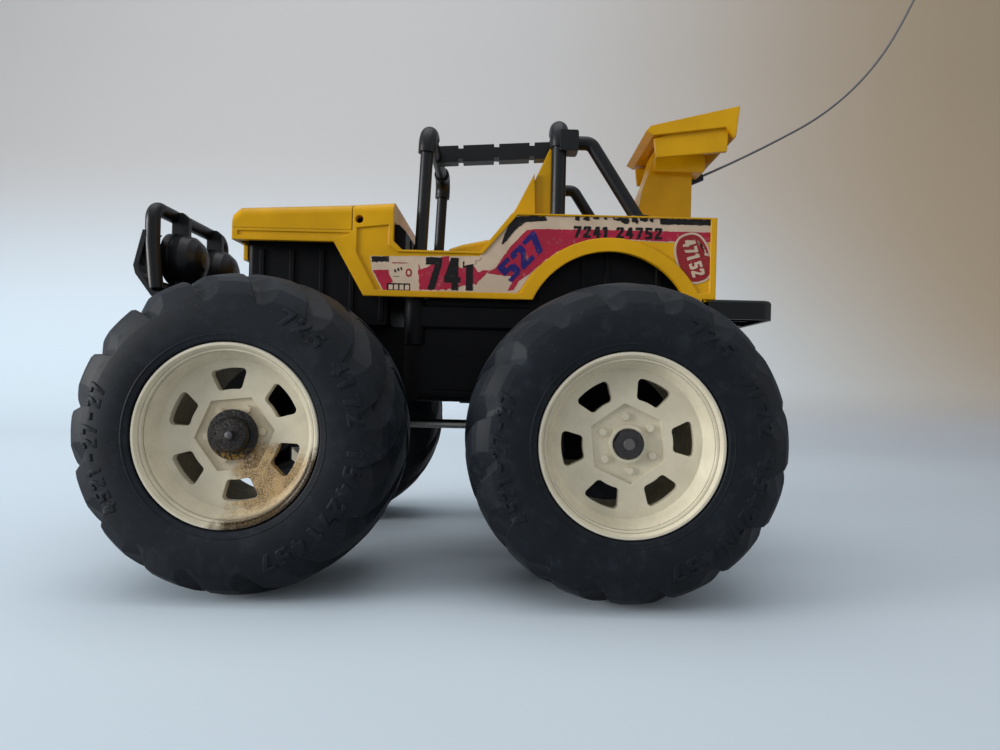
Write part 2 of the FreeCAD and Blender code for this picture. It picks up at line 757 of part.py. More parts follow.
def servo_arm():
    """The servo's output shaft and arm, pointing backwards when the wheels are straight."""
    shaft = rod((servo_x, 0, rod_top + 1.0), (servo_x, 0, floor_z + 7.5), servo_shaft)
    collar = rod((servo_x, 0, rod_top + 1.0), (servo_x, 0, rod_top + 5.0), 4.2)
    arm = box(steer_arm - 2.6, servo_x, -2.6, 2.6, rod_top + 1.0, rod_top + 3.4)
    arm = rounded(arm, 2.2, lambda edge: along(edge, "z") and edge.BoundBox.XMax < servo_x - 1)
    tip = rod((steer_arm, 0, rod_bottom - 1.0), (steer_arm, 0, rod_top + 2.0), arm_pin)
    return fuse(shaft, collar, arm, tip)


# ---- chassis ------------------------------------------------------------------------
door_x = (-126.0, -74.0)
door_y = (6.0, tub_half - wall - 0.8)
door_axis_y = door_y[1] - 1.6
door_axis_z = floor_z + floor_thickness / 2
door_pin = 0.9
switch_x = -104.0
switch_y = -22.0
switch_travel = 4.0
foot_z = 104.0


def tub():
    """The chassis: a rear tub and a narrow front frame between the front wheels."""
    outer = box(tub_rear_x, tub_front_x, -tub_half, tub_half, floor_z, tub_top)
    outer = rounded(outer, 4.0, lambda edge: along(edge, "x") and edge.BoundBox.ZMax < 76)
    outer = rounded(outer, 5.0, lambda edge: along(edge, "z") and edge.BoundBox.XMax < -190)
    inner = box(tub_rear_x + wall, tub_front_x - wall, -tub_half + wall, tub_half - wall,
                floor_z + floor_thickness, tub_top + 1)
    flange = box(tub_rear_x + 8, tub_front_x, -tub_half - 2.0, tub_half + 2.0, 108.5, 119.0)
    flange = rounded(flange, 1.2, lambda edge: along(edge, "x"))
    frame = box(tub_front_x - 1, frame_front_x, -frame_half, frame_half, floor_z, bay_floor_z)
    frame_inner = box(tub_front_x - 3, frame_front_x - wall, -frame_half + wall,
                      frame_half - wall, floor_z + floor_thickness, bay_floor_z + 1)
    flare = plan_prism([(tub_front_x, -tub_half), (tub_front_x + 9, -frame_half),
                        (tub_front_x + 9, frame_half), (tub_front_x, tub_half)],
                       floor_z, bay_floor_z)
    sockets = []
    for side in (1, -1):
        sockets.append(rod((front_hoop_foot_x, side * cage_half, foot_z - 3),
                           (front_hoop_foot_x, side * cage_half, tub_top), 5.2))
    ribs = []
    for x in (-52.0, -38.0, 14.0):
        ribs.append(box(x, x + 1.6, -frame_half + 1, frame_half - 1, floor_z + 1,
                        floor_z + 13))
    body = fuse(outer, flange, frame, flare, *sockets)
    body = fuse(body.cut([inner, frame_inner]), *ribs)
    cuts = [rear_case_block()]
    for side in (1, -1):
        line = box(tub_rear_x + 12, tub_front_x - 6, tub_half - 0.6, tub_half + 0.5,
                   79.6, 80.6)
        cuts.append(line if side > 0 else mirrored(line))
    cuts.append(box(door_x[0], door_x[1], door_y[0], door_y[1], floor_z - 1, floor_z + 4))
    cuts.append(rod((door_x[0] - 3.2, door_axis_y, door_axis_z),
                    (door_x[1] + 3.2, door_axis_y, door_axis_z), door_pin + fit))
    cuts.append(box(switch_x - 5.6, switch_x + 5.6, switch_y - 2.6, switch_y + 2.6,
                    floor_z - 1, floor_z + 4))
    cuts.append(rod((servo_x, 0, floor_z - 1), (servo_x, 0, floor_z + 4), servo_shaft + fit))
    cuts.append(front_hoop())
    return body.cut(cuts)


def battery_door():
    """The door under the cells; its pins turn in the tub floor."""
    x0 = door_x[0] + gap
    x1 = door_x[1] - gap
    radius = floor_thickness / 2 - 0.05
    plate = box(x0, x1, door_y[0] + gap, door_axis_y, door_axis_z - radius,
                door_axis_z + radius)
    barrel = rod((x0, door_axis_y, door_axis_z), (x1, door_axis_y, door_axis_z), radius)
    pins = rod((x0 - 3.0, door_axis_y, door_axis_z), (x1 + 3.0, door_axis_y, door_axis_z),
               door_pin)
    ribs = []
    for step in range(5):
        y = door_y[0] + 6.0 + 4.5 * step
        ribs.append(box(x0 + 6, x1 - 6, y, y + 1.6, door_axis_z - radius - 0.7,
                        door_axis_z - radius + 0.2))
    return fuse(plate, barrel, pins, *ribs)


cell_radius = 7.1
cell_length = 46.0
cell_x = -123.2
cell_pitch = 2 * cell_radius + 0.2
cell_outer_y = tub_half - wall - 2.3 - cell_radius
cell_inner_y = cell_outer_y - cell_pitch
cell_low_z = floor_z + floor_thickness + 8.5
cell_rows = ((cell_inner_y, cell_low_z), (cell_outer_y, cell_low_z),
             (cell_inner_y, cell_low_z + cell_pitch), (cell_outer_y, cell_low_z + cell_pitch))


holder_top = cell_low_z + cell_pitch + 6.1


def battery_cells():
    """Four cells lying lengthwise, two over two, with their end buttons."""
    cells = []
    for number, (y, z) in enumerate(cell_rows):
        body = rod((cell_x, y, z), (cell_x + cell_length, y, z), cell_radius)
        start = cell_x + cell_length if number % 2 else cell_x - 1.2
        button = rod((start, y, z), (start + 1.2, y, z), 2.7)
        cells.append(fuse(body, button))
    return cells


def battery_contacts():
    """Spring plates at both ends of the cells, and the holder's cross walls."""
    plates = []
    for x in (cell_x - 2.0, cell_x + cell_length + 1.2):
        for y in (cell_inner_y, cell_outer_y):
            plates.append(box(x, x + 0.8, y - 5.5, y + 5.5, cell_low_z - 6.0, holder_top))
    return plates


def battery_holder():
    """Walls on the tub floor that hold the cells and their contacts."""
    low_y = cell_inner_y - cell_radius - 2.1
    high_y = tub_half - wall - 0.2
    outer = box(cell_x - 3.6, cell_x + cell_length + 3.6, low_y, high_y,
                floor_z + floor_thickness, holder_top)
    inner = box(cell_x - 2.0, cell_x + cell_length + 2.0, low_y + 1.6, high_y - 1.6, 70,
                holder_top + 1)
    return outer.cut(inner)


board_z = floor_z + floor_thickness + 6.5
board_top = board_z + 1.6


def circuit_board():
    """The control board on four posts."""
    edge = tub_half - wall - 2.0
    board = box(-126.0, -70.0, -edge, -2.0, board_z, board_top)
    posts = []
    for x in (-122.0, -74.0):
        for y in (3.5 - edge, -6.0):
            posts.append(rod((x, y, floor_z + floor_thickness), (x, y, board_z), 2.2))
    return fuse(board, *posts)


def board_parts():
    """Chips, a capacitor, driver transistors and the aerial coil on the board."""
    top = board_top
    parts = [box(-98, -84, -26, -14, top, top + 2.0), box(-118, -110, -30, -24, top, top + 1.6)]
    for step in range(4):
        parts.append(box(-119 + 5.5 * step, -115.5 + 5.5 * step, -14, -10, top, top + 7.5))
    parts.append(rod((-78.5, -28, top), (-78.5, -28, top + 11), 4.0))
    parts.append(rod((-78.5, -12, top), (-78.5, -12, top + 6), 3.0))
    parts.append(box(-106.5, -101.5, -33.5, -25.5, top, top + 5.0))
    return parts


def switch_housing():
    """The fixed body of the power switch, above its slot in the floor."""
    base = floor_z + floor_thickness
    outer = box(switch_x - 8, switch_x + 8, switch_y - 5, switch_y + 5, base, base + 5.4)
    inner = box(switch_x - 6.4, switch_x + 6.4, switch_y - 3.4, switch_y + 3.4, base - 1,
                base + 4.0)
    return outer.cut(inner)


def power_switch():
    """The sliding knob, in its off place."""
    base = floor_z + floor_thickness
    x = switch_x - switch_travel / 2
    plate = box(x - 3.0, x + 3.0, switch_y - 3.0, switch_y + 3.0, base + 0.4, base + 2.4)
    knob = box(x - 2.2, x + 2.2, switch_y - 2.0, switch_y + 2.0, floor_z - 1.6, base + 1.0)
    grip = []
    for step in (-1, 0, 1):
        grip.append(box(x + 1.3 * step - 0.3, x + 1.3 * step + 0.3, switch_y - 2.1,
                        switch_y + 2.1, floor_z - 2.0, floor_z - 1.2))
    return fuse(plate, knob).cut(grip)


def engine_bay():
    """The black box under the hood, which carries the front of the body."""
    outer = box(bay_rear_x, bay_front_x - 1.0, -bay_half, bay_half, bay_floor_z, bay_top)
    outer = rounded(outer, 3.0, lambda edge: along(edge, "z"))
    inner = box(bay_rear_x + wall, bay_front_x - 1.0 - wall, -bay_half + wall,
                bay_half - wall, bay_floor_z + wall, bay_top + 1)
    ribs = []
    for x in (-44.0, -30.0, -16.0, -2.0, 12.0):
        rib = box(x, x + 2.0, bay_half - 1, bay_half + 1.0, bay_floor_z + 2, bay_top - 6)
        ribs.append(rib)
        ribs.append(mirrored(rib))
    ledge = box(bay_rear_x + 4, bay_front_x - 5, bay_half - 1, body_half - wall,
                flange_z + 2.2, bay_top)
    return fuse(outer.cut(inner), ledge, mirrored(ledge), *ribs)


def bed_box():
    """The black box under the rear deck, which carries the rear of the body."""
    outer = box(tub_rear_x, bed_front_x, -bed_half, bed_half, tub_top, deck_z - wall)
    outer = rounded(outer, 4.0, lambda edge: along(edge, "z"))
    inner = box(tub_rear_x + wall, bed_front_x - wall, -bed_half + wall, bed_half - wall,
                tub_top - 1, deck_z - 2 * wall)
    ribs = []
    for x in (-182.0, -172.0, -148.4, -137.5, -118.0):
        rib = box(x, x + 2.0, bed_half - 1, bed_half + 1.2, tub_top, deck_z - 8)
        ribs.append(rib)
        ribs.append(mirrored(rib))
    return fuse(outer.cut(inner), *ribs).cut([rear_hoop()] + body_screws())


def cockpit_tray():
    """The black floor and low walls inside the open cockpit."""
    x0 = bed_front_x + 4
    x1 = bay_rear_x - gap
    outer = box(x0, x1, -cockpit_half, cockpit_half, cockpit_floor_z - wall, door_z - 2.2)
    inner = box(x0 + 1.6, x1 - 1.6, -cockpit_half + 1.6, cockpit_half - 1.6,
                cockpit_floor_z, door_z)
    tunnel = box(x0 + 1, x1 - 1, -5, 5, cockpit_floor_z - 1, cockpit_floor_z + 6)
    tunnel = rounded(tunnel, 2.5, lambda edge: along(edge, "x") and
                     edge.BoundBox.ZMin > cockpit_floor_z)
    legs = []
    for side in (1, -1):
        leg = box(x0 + 10, x0 + 30, tub_half - wall, tub_half, tub_top, cockpit_floor_z)
        legs.append(leg if side > 0 else mirrored(leg))
    tray = fuse(outer.cut(inner), tunnel, *legs)
    return tray.cut(front_hoop())


# ---- body ---------------------------------------------------------------------------
side_outline = [(nose_x, flange_z), (nose_x, hood_split_z), (seam_x, hood_split_z),
                (seam_x, hood_rear_z), (cowl_x, cowl_z), (cowl_x, door_z + 4.0),
                (cowl_x - 4.0, door_z), (door_rear_x, door_z), (deck_x, deck_z),
                (tail_x, deck_z), (tail_x, sill_z + 2.0), (tail_x + 6.0, sill_z + 2.0),
                (tail_x + 6.0, sill_z), (fender_foot_x, sill_z), (fender_top_x, flange_z)]
panel_outline = [(seam_x - 2.0, flange_z - 4.6), (seam_x - 2.0, 152.4), (-47.8, 154.0),
                 (-47.8, door_z + 2.0), (-52.0, door_z - 1.0), (door_rear_x - 1.2, door_z - 1.0),
                 (deck_x - 2.6, deck_z - 0.7), (tail_x + 2.7, deck_z - 0.7),
                 (tail_x + 2.7, sill_z + 4.6), (arch_x, sill_z + 4.6),
                 (arch_x, sill_z + 2.7), (-42.4, sill_z + 2.7)]
flange_outline = [(nose_x - 2.6, flange_z + 2.0), (nose_x - 2.6, hood_split_z - 1.2),
                  (seam_x + 1.0, hood_split_z - 1.2), (-26.6, flange_z + 2.0)]


def body_shell():
    """The yellow body: sides, cowl, rear deck and tail, open underneath."""
    full = body_half + trim
    shell = side_prism(side_outline, -full, full)
    shell = rounded(shell, 4.2, lambda edge: edge.BoundBox.XMin > cowl_x - 0.1 and
                    edge.BoundBox.ZMin > hood_rear_z - 0.1 and edge.BoundBox.YLength < 0.1 and
                    edge.BoundBox.XLength > 15)
    arch = rod((arch_x, -60, arch_z), (arch_x, 60, arch_z), arch_radius)
    arch_foot = box(arch_x - arch_radius, arch_x + arch_radius, -60, 60, 100, arch_z)
    proud = rod((arch_x, -60, arch_z), (arch_x, 60, arch_z), arch_radius + arch_band)
    inside = body_half - wall
    cuts = [arch, arch_foot]
    for side in (1, -1):
        recess = side_prism(panel_outline, body_half, full + 1).cut(proud)
        strip = side_prism(flange_outline, body_half + 0.3, full + 1)
        cuts.append(recess if side > 0 else mirrored(recess))
        cuts.append(strip if side > 0 else mirrored(strip))
    cuts.append(box(seam_x, nose_x - wall, -inside, inside, 140, 156))
    cuts.append(side_prism([(seam_x + 1, 140), (seam_x + 1, hood_rear_z - wall),
                            (seam_x, hood_rear_z - wall), (cowl_x + wall, cowl_z - wall),
                            (cowl_x + wall, 140)], -inside + 2, inside - 2))
    cuts.append(side_prism([(-20.0, 118), (-20.0, hood_split_z), (seam_x, 155),
                            (cowl_x - 1, 156), (cowl_x - 1, 146), (-56, 150), (-86, 150),
                            (door_rear_x - 0.9, door_z), (deck_x - 1.0, deck_z - wall),
                            (tail_x + wall, deck_z - wall), (tail_x + wall, 118)],
                           -inside, inside))
    shell = shell.cut(cuts)
    grille = box(nose_x - wall, nose_x, -33, 33, 139.0, flange_z + 1)
    slots = []
    for step in range(6):
        y = -25.0 + 10.0 * step
        slots.append(box(nose_x - 0.8, nose_x + 1, y - 3.2, y + 3.2, 141.0, 149.4))
    bosses = []
    for x, y in ((-163.5, 41.0), (-129.0, 41.0)):
        bosses.append(rod((x, y, 143.0), (x, y, deck_z - wall), 2.6))
        bosses.append(rod((x, -y, 143.0), (x, -y, deck_z - wall), 2.6))
    full_hole = rod((seam_x - 3.0, -full - 1, 156.2), (seam_x - 3.0, full + 1, 156.2), 1.8)
    shell = fuse(shell, grille, *bosses).cut(slots + [full_hole])
    return shell.cut([rear_hoop()] + body_screws())


def hood():
    """The hood with its raised middle panel and two hinge screws."""
    front = nose_x
    rear = seam_x + gap
    low = hood_split_z + 0.1
    half = body_half + trim

    def roof(x, drop):
        share = (front - x) / (front - seam_x)
        return hood_front_z + (hood_rear_z - hood_front_z) * share - drop

    block = side_prism([(front, low), (front, hood_front_z - 2.4), (front - 3, roof(front - 3, 0)),
                        (rear, roof(rear, 0)), (rear, low)], -half, half)
    block = rounded(block, 4.4, lambda edge: edge.BoundBox.YLength < 0.1 and
                    edge.BoundBox.ZMin > hood_front_z - 3 and edge.BoundBox.XLength > 1)
    hollow = side_prism([(front - wall, low - 1), (front - wall, roof(front, 3.4)),
                         (rear - 1, roof(rear, wall + 0.4)), (rear - 1, low - 1)],
                        -half + 2.4, half - 2.4)
    panel = side_prism([(front - 5.5, roof(front - 5.5, 0.5)), (front - 6.5, roof(front - 6.5, -1.2)),
                        (rear, roof(rear, -1.2)), (rear, roof(rear, 0.5))], -27, 27)
    panel = rounded(panel, 1.1, lambda edge: edge.BoundBox.YLength < 0.1 and
                    edge.BoundBox.XLength > 20 and
                    edge.BoundBox.ZMax > roof(rear, -1.1))
    lid = fuse(block.cut(hollow), panel)
    slots = []
    for side in (1, -1):
        for step in range(4):
            x = -2.0 - 6.0 * step
            slots.append(box(x - 3.4, x, side * 15 - 6, side * 15 + 6, roof(x, 0.3), 170))
    return lid.cut(slots)


def dashboard():
    """The instrument panel under the rear edge of the cowl."""
    half = body_half - wall - 3.4
    front = cowl_x + wall - 0.1
    panel = side_prism([(front, door_z - 2.2), (front, 155.6), (cowl_x - 1.4, 155.6),
                        (cowl_x - 4.6, 152.6), (cowl_x - 4.6, 144.0),
                        (cowl_x - 2.0, door_z - 2.2)], -half, half)
    dials = []
    for y in (-24.0, -12.0, 12.0, 24.0):
        dials.append(rod((cowl_x - 9, y, 148.4), (cowl_x - 3.9, y, 148.4), 3.8))
    return panel.cut(dials)


def seat(side):
    """One bucket seat: a cushion, and a back that rises to a point behind it."""
    y0, y1 = (7.0, 34.0)
    cushion = side_prism([(-70.0, cockpit_floor_z), (-74.0, 146.7), (-80.0, 148.8),
                          (-91.6, 151.4), (-103.0, 150.0), (-103.0, cockpit_floor_z)], y0, y1)
    cushion = rounded(cushion, 2.0, lambda edge: edge.BoundBox.YLength < 0.1 and
                      edge.BoundBox.ZMin > 146)
    back = side_prism([(-98.0, 150.0), (-108.6, 168.9), (-120.9, 196.5), (-121.0, deck_z),
                       (-104.0, deck_z), (-103.0, 150.0)], y0, y1)
    cheeks = side_prism([(-96.0, 151.0), (-104.5, 165.0), (-113.0, 182.0), (-114.0, deck_z),
                         (-104.0, deck_z), (-103.0, 150.0)], y0 - 2.0, y1 + 2.0)
    hollow = side_prism([(-92.0, 152.0), (-106.2, 169.0), (-118.0, 195.0), (-90.0, 195.0)],
                        y0 + 4.0, y1 - 4.0)
    piece = fuse(cushion, back, cheeks).cut(hollow)
    piece = piece.cut(box(-130, deck_x + 0.01, -50, 50, 120, deck_z))
    piece = piece.cut(body_back())
    return piece if side > 0 else mirrored(piece)


def body_back():
    """The sloping back of the cockpit, used to trim the seats to it."""
    return side_prism([(door_rear_x, door_z), (deck_x, deck_z), (deck_x - 30, deck_z),
                       (deck_x - 30, 120), (bed_front_x + 5.6, 120), (bed_front_x + 5.6, 132),
                       (bed_front_x + 12.2, 140.8)], -50, 50)


# ---- cage, wing, bumpers, lamps, antenna ---------------------------------------------
def front_hoop():
    """The front hoop, with thicker sleeves round its top corners."""
    lean = (front_hoop_top_x - front_hoop_foot_x) / (front_hoop_top_z - foot_z)
    sleeve_x = front_hoop_top_x - lean * cap_drop
    points = [(front_hoop_foot_x, -cage_half, foot_z),
              (front_hoop_top_x, -cage_half, front_hoop_top_z),
              (front_hoop_top_x, cage_half, front_hoop_top_z),
              (front_hoop_foot_x, cage_half, foot_z)]
    hoop = tube(points, front_post_radius, cage_bend)
    sleeves = []
    for side in (1, -1):
        sleeves.append(tube([(sleeve_x, side * cage_half, front_hoop_top_z - cap_drop),
                             (front_hoop_top_x, side * cage_half, front_hoop_top_z),
                             (front_hoop_top_x, side * (cage_half - 11), front_hoop_top_z)],
                            cap_radius, cage_bend))
    return fuse(hoop, *sleeves)


def rear_hoop():
    """The upright rear hoop, with thicker sleeves round its top corners."""
    foot = deck_z - 2 * wall
    points = [(rear_hoop_x, -cage_half, foot), (rear_hoop_x, -cage_half, rear_hoop_top_z),
              (rear_hoop_x, cage_half, rear_hoop_top_z), (rear_hoop_x, cage_half, foot)]
    hoop = tube(points, rear_post_radius, cage_bend)
    sleeves = []
    for side in (1, -1):
        sleeves.append(tube([(rear_hoop_x, side * cage_half, rear_hoop_top_z - cap_drop),
                             (rear_hoop_x, side * cage_half, rear_hoop_top_z),
                             (rear_hoop_x, side * (cage_half - 11), rear_hoop_top_z)],
                            cap_radius + 0.2, cage_bend))
    return fuse(hoop, *sleeves)


def spine_bar():
    """The notched bar that joins the hoops along the middle."""
    slope = (rear_hoop_top_z - front_hoop_top_z) / (rear_hoop_x - front_hoop_top_x)

    def middle(x):
        return front_hoop_top_z + 0.8 + slope * (x - front_hoop_top_x)

    x0 = rear_hoop_x
    x1 = front_hoop_top_x
    half = spine_height / 2
    bar = side_prism([(x1, middle(x1) - half), (x1, middle(x1) + half),
                      (x0, middle(x0) + half), (x0, middle(x0) - half)],
                     -spine_width / 2, spine_width / 2)
    cuts = []
    for x in (-76.0, -94.4, -112.6):
        for side in (1, -1):
            edge_z = middle(x) + side * half
            cuts.append(box(x - notch_width / 2, x + notch_width / 2, -10, 10,
                            edge_z - notch_depth, edge_z + notch_depth))
    cuts.append(rod((x1, -20, front_hoop_top_z), (x1, 20, front_hoop_top_z),
                    front_post_radius))
    cuts.append(rod((x0, -20, rear_hoop_top_z), (x0, 20, rear_hoop_top_z), rear_post_radius))
    cuts.append(box(x1 + 0.001, x1 + 10, -10, 10, 180, 220))
    cuts.append(box(x0 - 10, x0 - 0.001, -10, 10, 180, 220))
    return bar.cut(cuts)


def brace(side):
    """A rear stay: a clamp behind the hoop and a bent tube down to the deck."""
    y = side * cage_half
    clamp = box(rear_hoop_x - 8.7, rear_hoop_x, y - 4.6, y + 4.6, 191.0, 200.4)
    clamp = rounded(clamp, 1.2, lambda edge: edge.BoundBox.XMax < rear_hoop_x - 5)
    stay = tube([(rear_hoop_x - 5, y, brace_z), (rear_hoop_x - 14.6, y, brace_z),
                 (brace_foot_x, y, deck_z - 3.0)], brace_radius, 4.5)
    foot = rod((brace_foot_x + 2.0, y, deck_z), (brace_foot_x + 2.0, y, deck_z + 1.6), 5.4)
    below = box(brace_foot_x - 20, brace_foot_x + 20, y - 20, y + 20, deck_z - 20, deck_z)
    return fuse(clamp, stay, foot).cut([rear_hoop(), below])


wing_section = [(-166.4, 206.9), (-168.7, 209.5), (-211.2, 220.0), (-209.6, 205.1),
                (-204.7, 209.7), (-170.0, 205.0)]
wing_end = [(-170.8, 204.0), (-172.0, 195.0), (-206.0, 198.7), (-206.7, 210.0),
            (-190.0, 210.0)]


def wing():
    """The rear wing: a wedge blade and an inset plate under each end."""
    blade = side_prism(wing_section, -wing_half, wing_half)
    hollow = side_prism([(-206.5, 216.6), (-207.4, 209.3), (-204.9, 211.8), (-180.0, 209.9)],
                        -wing_half + wing_wall, wing_half - wing_wall)
    blade = blade.cut(hollow)
    plates = []
    for side in (1, -1):
        plate = side_prism(wing_end, wing_half - 4.0, wing_half - 2.0)
        plates.append(plate if side > 0 else mirrored(plate))
    return fuse(blade, *plates)


whip_heading = (-math.cos(math.radians(whip_rise)), 0, math.sin(math.radians(whip_rise)))


def socket_rod(length):
    """The straight round plug round the foot of the whip."""
    start = Vec(whip_start[0], 0, whip_start[1])
    end = start + Vec(*whip_heading) * length
    return rod(tuple(start), tuple(end), 2.2)


def wing_tower():
    """The wing's stand: two cheeks, a saddle block and a sloping front strut."""
    post = side_prism([(-161.0, deck_z), (-165.5, deck_z + 7), (-168.6, 184.0), (-171.5, 192.0),
                       (-175.5, 207.0), (-188.0, 207.6), (-188.0, 196.0), (tower_rear_x, 192.0),
                       (tower_rear_x, deck_z)], -tower_half, tower_half)
    hollow = side_prism([(-170.0, deck_z - 1), (-174.5, 182.0), (-187.5, 182.0),
                         (-187.5, deck_z - 1)], -tower_half + wall, tower_half - wall)
    saddle = box(-198.5, -173.6, -14, 14, 191.5, 200.0)
    saddle = rounded(saddle, 1.5, lambda edge: along(edge, "y"))
    foot = box(tower_rear_x, -160.5, -16, 16, deck_z, deck_z + 1.8)
    tower = fuse(post, saddle, foot).cut(hollow)
    return tower.cut([side_prism(wing_section, -30, 30), socket_rod(11.6)])


def antenna_socket():
    """The collar in the tower that grips the whip."""
    return socket_rod(12.0).cut(antenna_whip())


def antenna_whip():
    """The springy wire aerial: tangent bends from knot to knot, and a bead at the tip."""
    start = Vec(whip_start[0], 0, whip_start[1])
    heading = Vec(*whip_heading)
    pieces = []
    for x, z in whip_knots:
        chord = Vec(x, 0, z) - start
        turn = 2 * heading.getAngle(chord)
        axis = heading.cross(chord).normalize()
        centre = start + axis.cross(heading) * (chord.Length / 2 / math.sin(turn / 2))
        section = Part.Face(Part.Wire(Part.Circle(start, heading, whip_radius).toShape()))
        pieces.append(section.revolve(centre, axis, math.degrees(turn)))
        heading = FreeCAD.Rotation(axis, math.degrees(turn)).multVec(heading)
        start = start + chord
    return fuse(*pieces, Part.makeSphere(whip_tip_radius, start))


bracket_y = 14.0
plate_outline = [(63.4, 150.5), (65.8, 150.5), (plate_front_x, 134.2), (68.8, 130.4),
                 (61.2, 120.2), (57.0, 120.2), (57.0, 122.4), (60.2, 122.4), (66.6, 131.2),
                 (67.4, 134.2)]


def bull_bar():
    """The front bar, its wrap-round plate and the two arms from the frame."""
    points = [(60.6, -bar_half, 124.0), (bar_x, -bar_half, 145.0), (bar_x, -bar_half, bar_top_z),
              (bar_x, bar_half, bar_top_z), (bar_x, bar_half, 145.0), (60.6, bar_half, 124.0)]
    bar = tube(points, bar_radius, 6.0)
    plate = side_prism(plate_outline, -bar_half - 3.0, bar_half + 3.0)
    openings = []
    for side in (1, -1):
        openings.append(rod((50, side * lamp_y, lamp_z), (80, side * lamp_y, lamp_z),
                            lamp_radius + 0.8))
    plate = plate.cut(openings)
    floor = box(50.0, 61.0, -bar_half - 3.0, bar_half + 3.0, 120.2, 122.4)
    arms = []
    for side in (1, -1):
        arm = side_prism([(frame_front_x, 92.0), (frame_front_x, 107.0), (50.0, 122.4),
                          (58.0, 122.4), (58.0, 120.3)], bracket_y - 2, bracket_y + 2)
        arms.append(arm if side > 0 else mirrored(arm))
    cross = rod((60.7, -bar_half, 125.5), (60.7, bar_half, 125.5), 2.4)
    return fuse(bar, plate, floor, cross, *arms)


def lamp_profile(points):
    """A profile of (x, radius) points turned about a lamp's axis, left side."""
    corners = [Vec(x, lamp_y + radius, lamp_z) for x, radius in points]
    face = Part.Face(Part.makePolygon(corners + corners[:1]))
    return face.revolve(Vec(0, lamp_y, lamp_z), Vec(1, 0, 0), 360)


def lamp_housing():
    """A round lamp bucket with a domed back, a tab to the top bar and a foot."""
    radius = lamp_radius
    bucket = lamp_profile([(lamp_back_x, 0), (lamp_back_x + 0.5, 4.5), (lamp_back_x + 2.2, 8.0),
                           (lamp_back_x + 5.2, 10.7), (lamp_back_x + 9.0, 11.8),
                           (lamp_front_x - 3.4, 11.9), (lamp_front_x - 3.4, radius),
                           (lamp_front_x, radius), (lamp_front_x, radius - 1.4),
                           (lamp_front_x - 3.0, radius - 1.4),
                           (lamp_front_x - 3.0, radius - 2.4), (lamp_back_x + 9.0, 10.1),
                           (lamp_back_x + 5.5, 8.6), (lamp_back_x + 2.4, 3.0),
                           (lamp_back_x + 2.0, 0)])
    tab = side_prism([(54.5, lamp_z + 11.0), (54.5, 161.0), (57.5, 163.5), (bar_x, 163.5),
                      (bar_x, lamp_z + 11.0)], lamp_y - 1.5, lamp_y + 1.5)
    tab = tab.cut(rod((bar_x, 0, bar_top_z), (bar_x, 60, bar_top_z), bar_radius))
    tab = tab.cut(rod((40, lamp_y, lamp_z), (80, lamp_y, lamp_z), 11.4))
    foot = box(55.0, 58.8, lamp_y - 5, lamp_y + 5, 122.4, lamp_z - 10.8)
    foot = foot.cut(rod((40, lamp_y, lamp_z), (80, lamp_y, lamp_z), 11.4))
    foot = foot.cut(rod((60.7, 0, 125.5), (60.7, 60, 125.5), 2.4))
    return fuse(bucket, tab, foot)


def lamp_lens():
    """The clear lens of a lamp."""
    edge = lamp_radius - 1.5
    return lamp_profile([(lamp_front_x - 3.0, 0), (lamp_front_x - 3.0, edge),
                         (lamp_front_x - 0.6, edge), (lamp_front_x + 0.2, edge * 0.8),
                         (lamp_front_x + 1.2, edge * 0.4), (lamp_front_x + 1.5, 0)])


def rear_bumper():
    """The flat rear bumper, hollow underneath, with ribs, arms and a tow boss."""
    front = tail_x
    outer = box(bumper_rear_x, front, -bumper_half, bumper_half, bumper_bottom_z, bumper_top_z)
    outer = rounded(outer, 6.0, lambda edge: along(edge, "z") and
                    edge.BoundBox.XMax < bumper_rear_x + 1)
    outer = rounded(outer, 1.6, lambda edge: edge.BoundBox.ZMin > bumper_top_z - 0.1)
    inner = box(bumper_rear_x + 2.2, front - 2.2, -bumper_half + 2.2, bumper_half - 2.2,
                bumper_bottom_z - 1, bumper_top_z - 2.4)
    shell = outer.cut(inner)
    ribs = []
    for y in (-26.0, -13.0, 11.4, 24.4):
        ribs.append(box(bumper_rear_x + 1, front - 1, y, y + 1.6, bumper_bottom_z + 1.5,
                        bumper_top_z - 1))
    boss = rod((-218.0, 0, bumper_bottom_z), (-218.0, 0, bumper_top_z - 1), 5.0)
    arms = []
    for side in (1, -1):
        arm = box(front - 1, tub_rear_x, 14.0, 24.0, bumper_bottom_z, tub_top)
        arms.append(arm if side > 0 else mirrored(arm))
    whole = fuse(shell, boss, *ribs, *arms)
    return whole.cut(rod((-218.0, 0, 100), (-218.0, 0, 140), 2.5))


def body_screws():
    """The four screws that hold the body's rear deck."""
    screws = []
    for x in (-133.0, -184.0):
        for y in (-30.0, 30.0):
            shank = rod((x, y, deck_z - 2 * wall - 3), (x, y, deck_z), 1.4)
            head = rod((x, y, deck_z), (x, y, deck_z + 1.8), 2.9)
            cross = [box(x - 2, x + 2, y - 0.4, y + 0.4, deck_z + 0.9, deck_z + 3),
                     box(x - 0.4, x + 0.4, y - 2, y + 2, deck_z + 0.9, deck_z + 3)]
            screws.append(fuse(shank, head).cut(cross))
    return screws


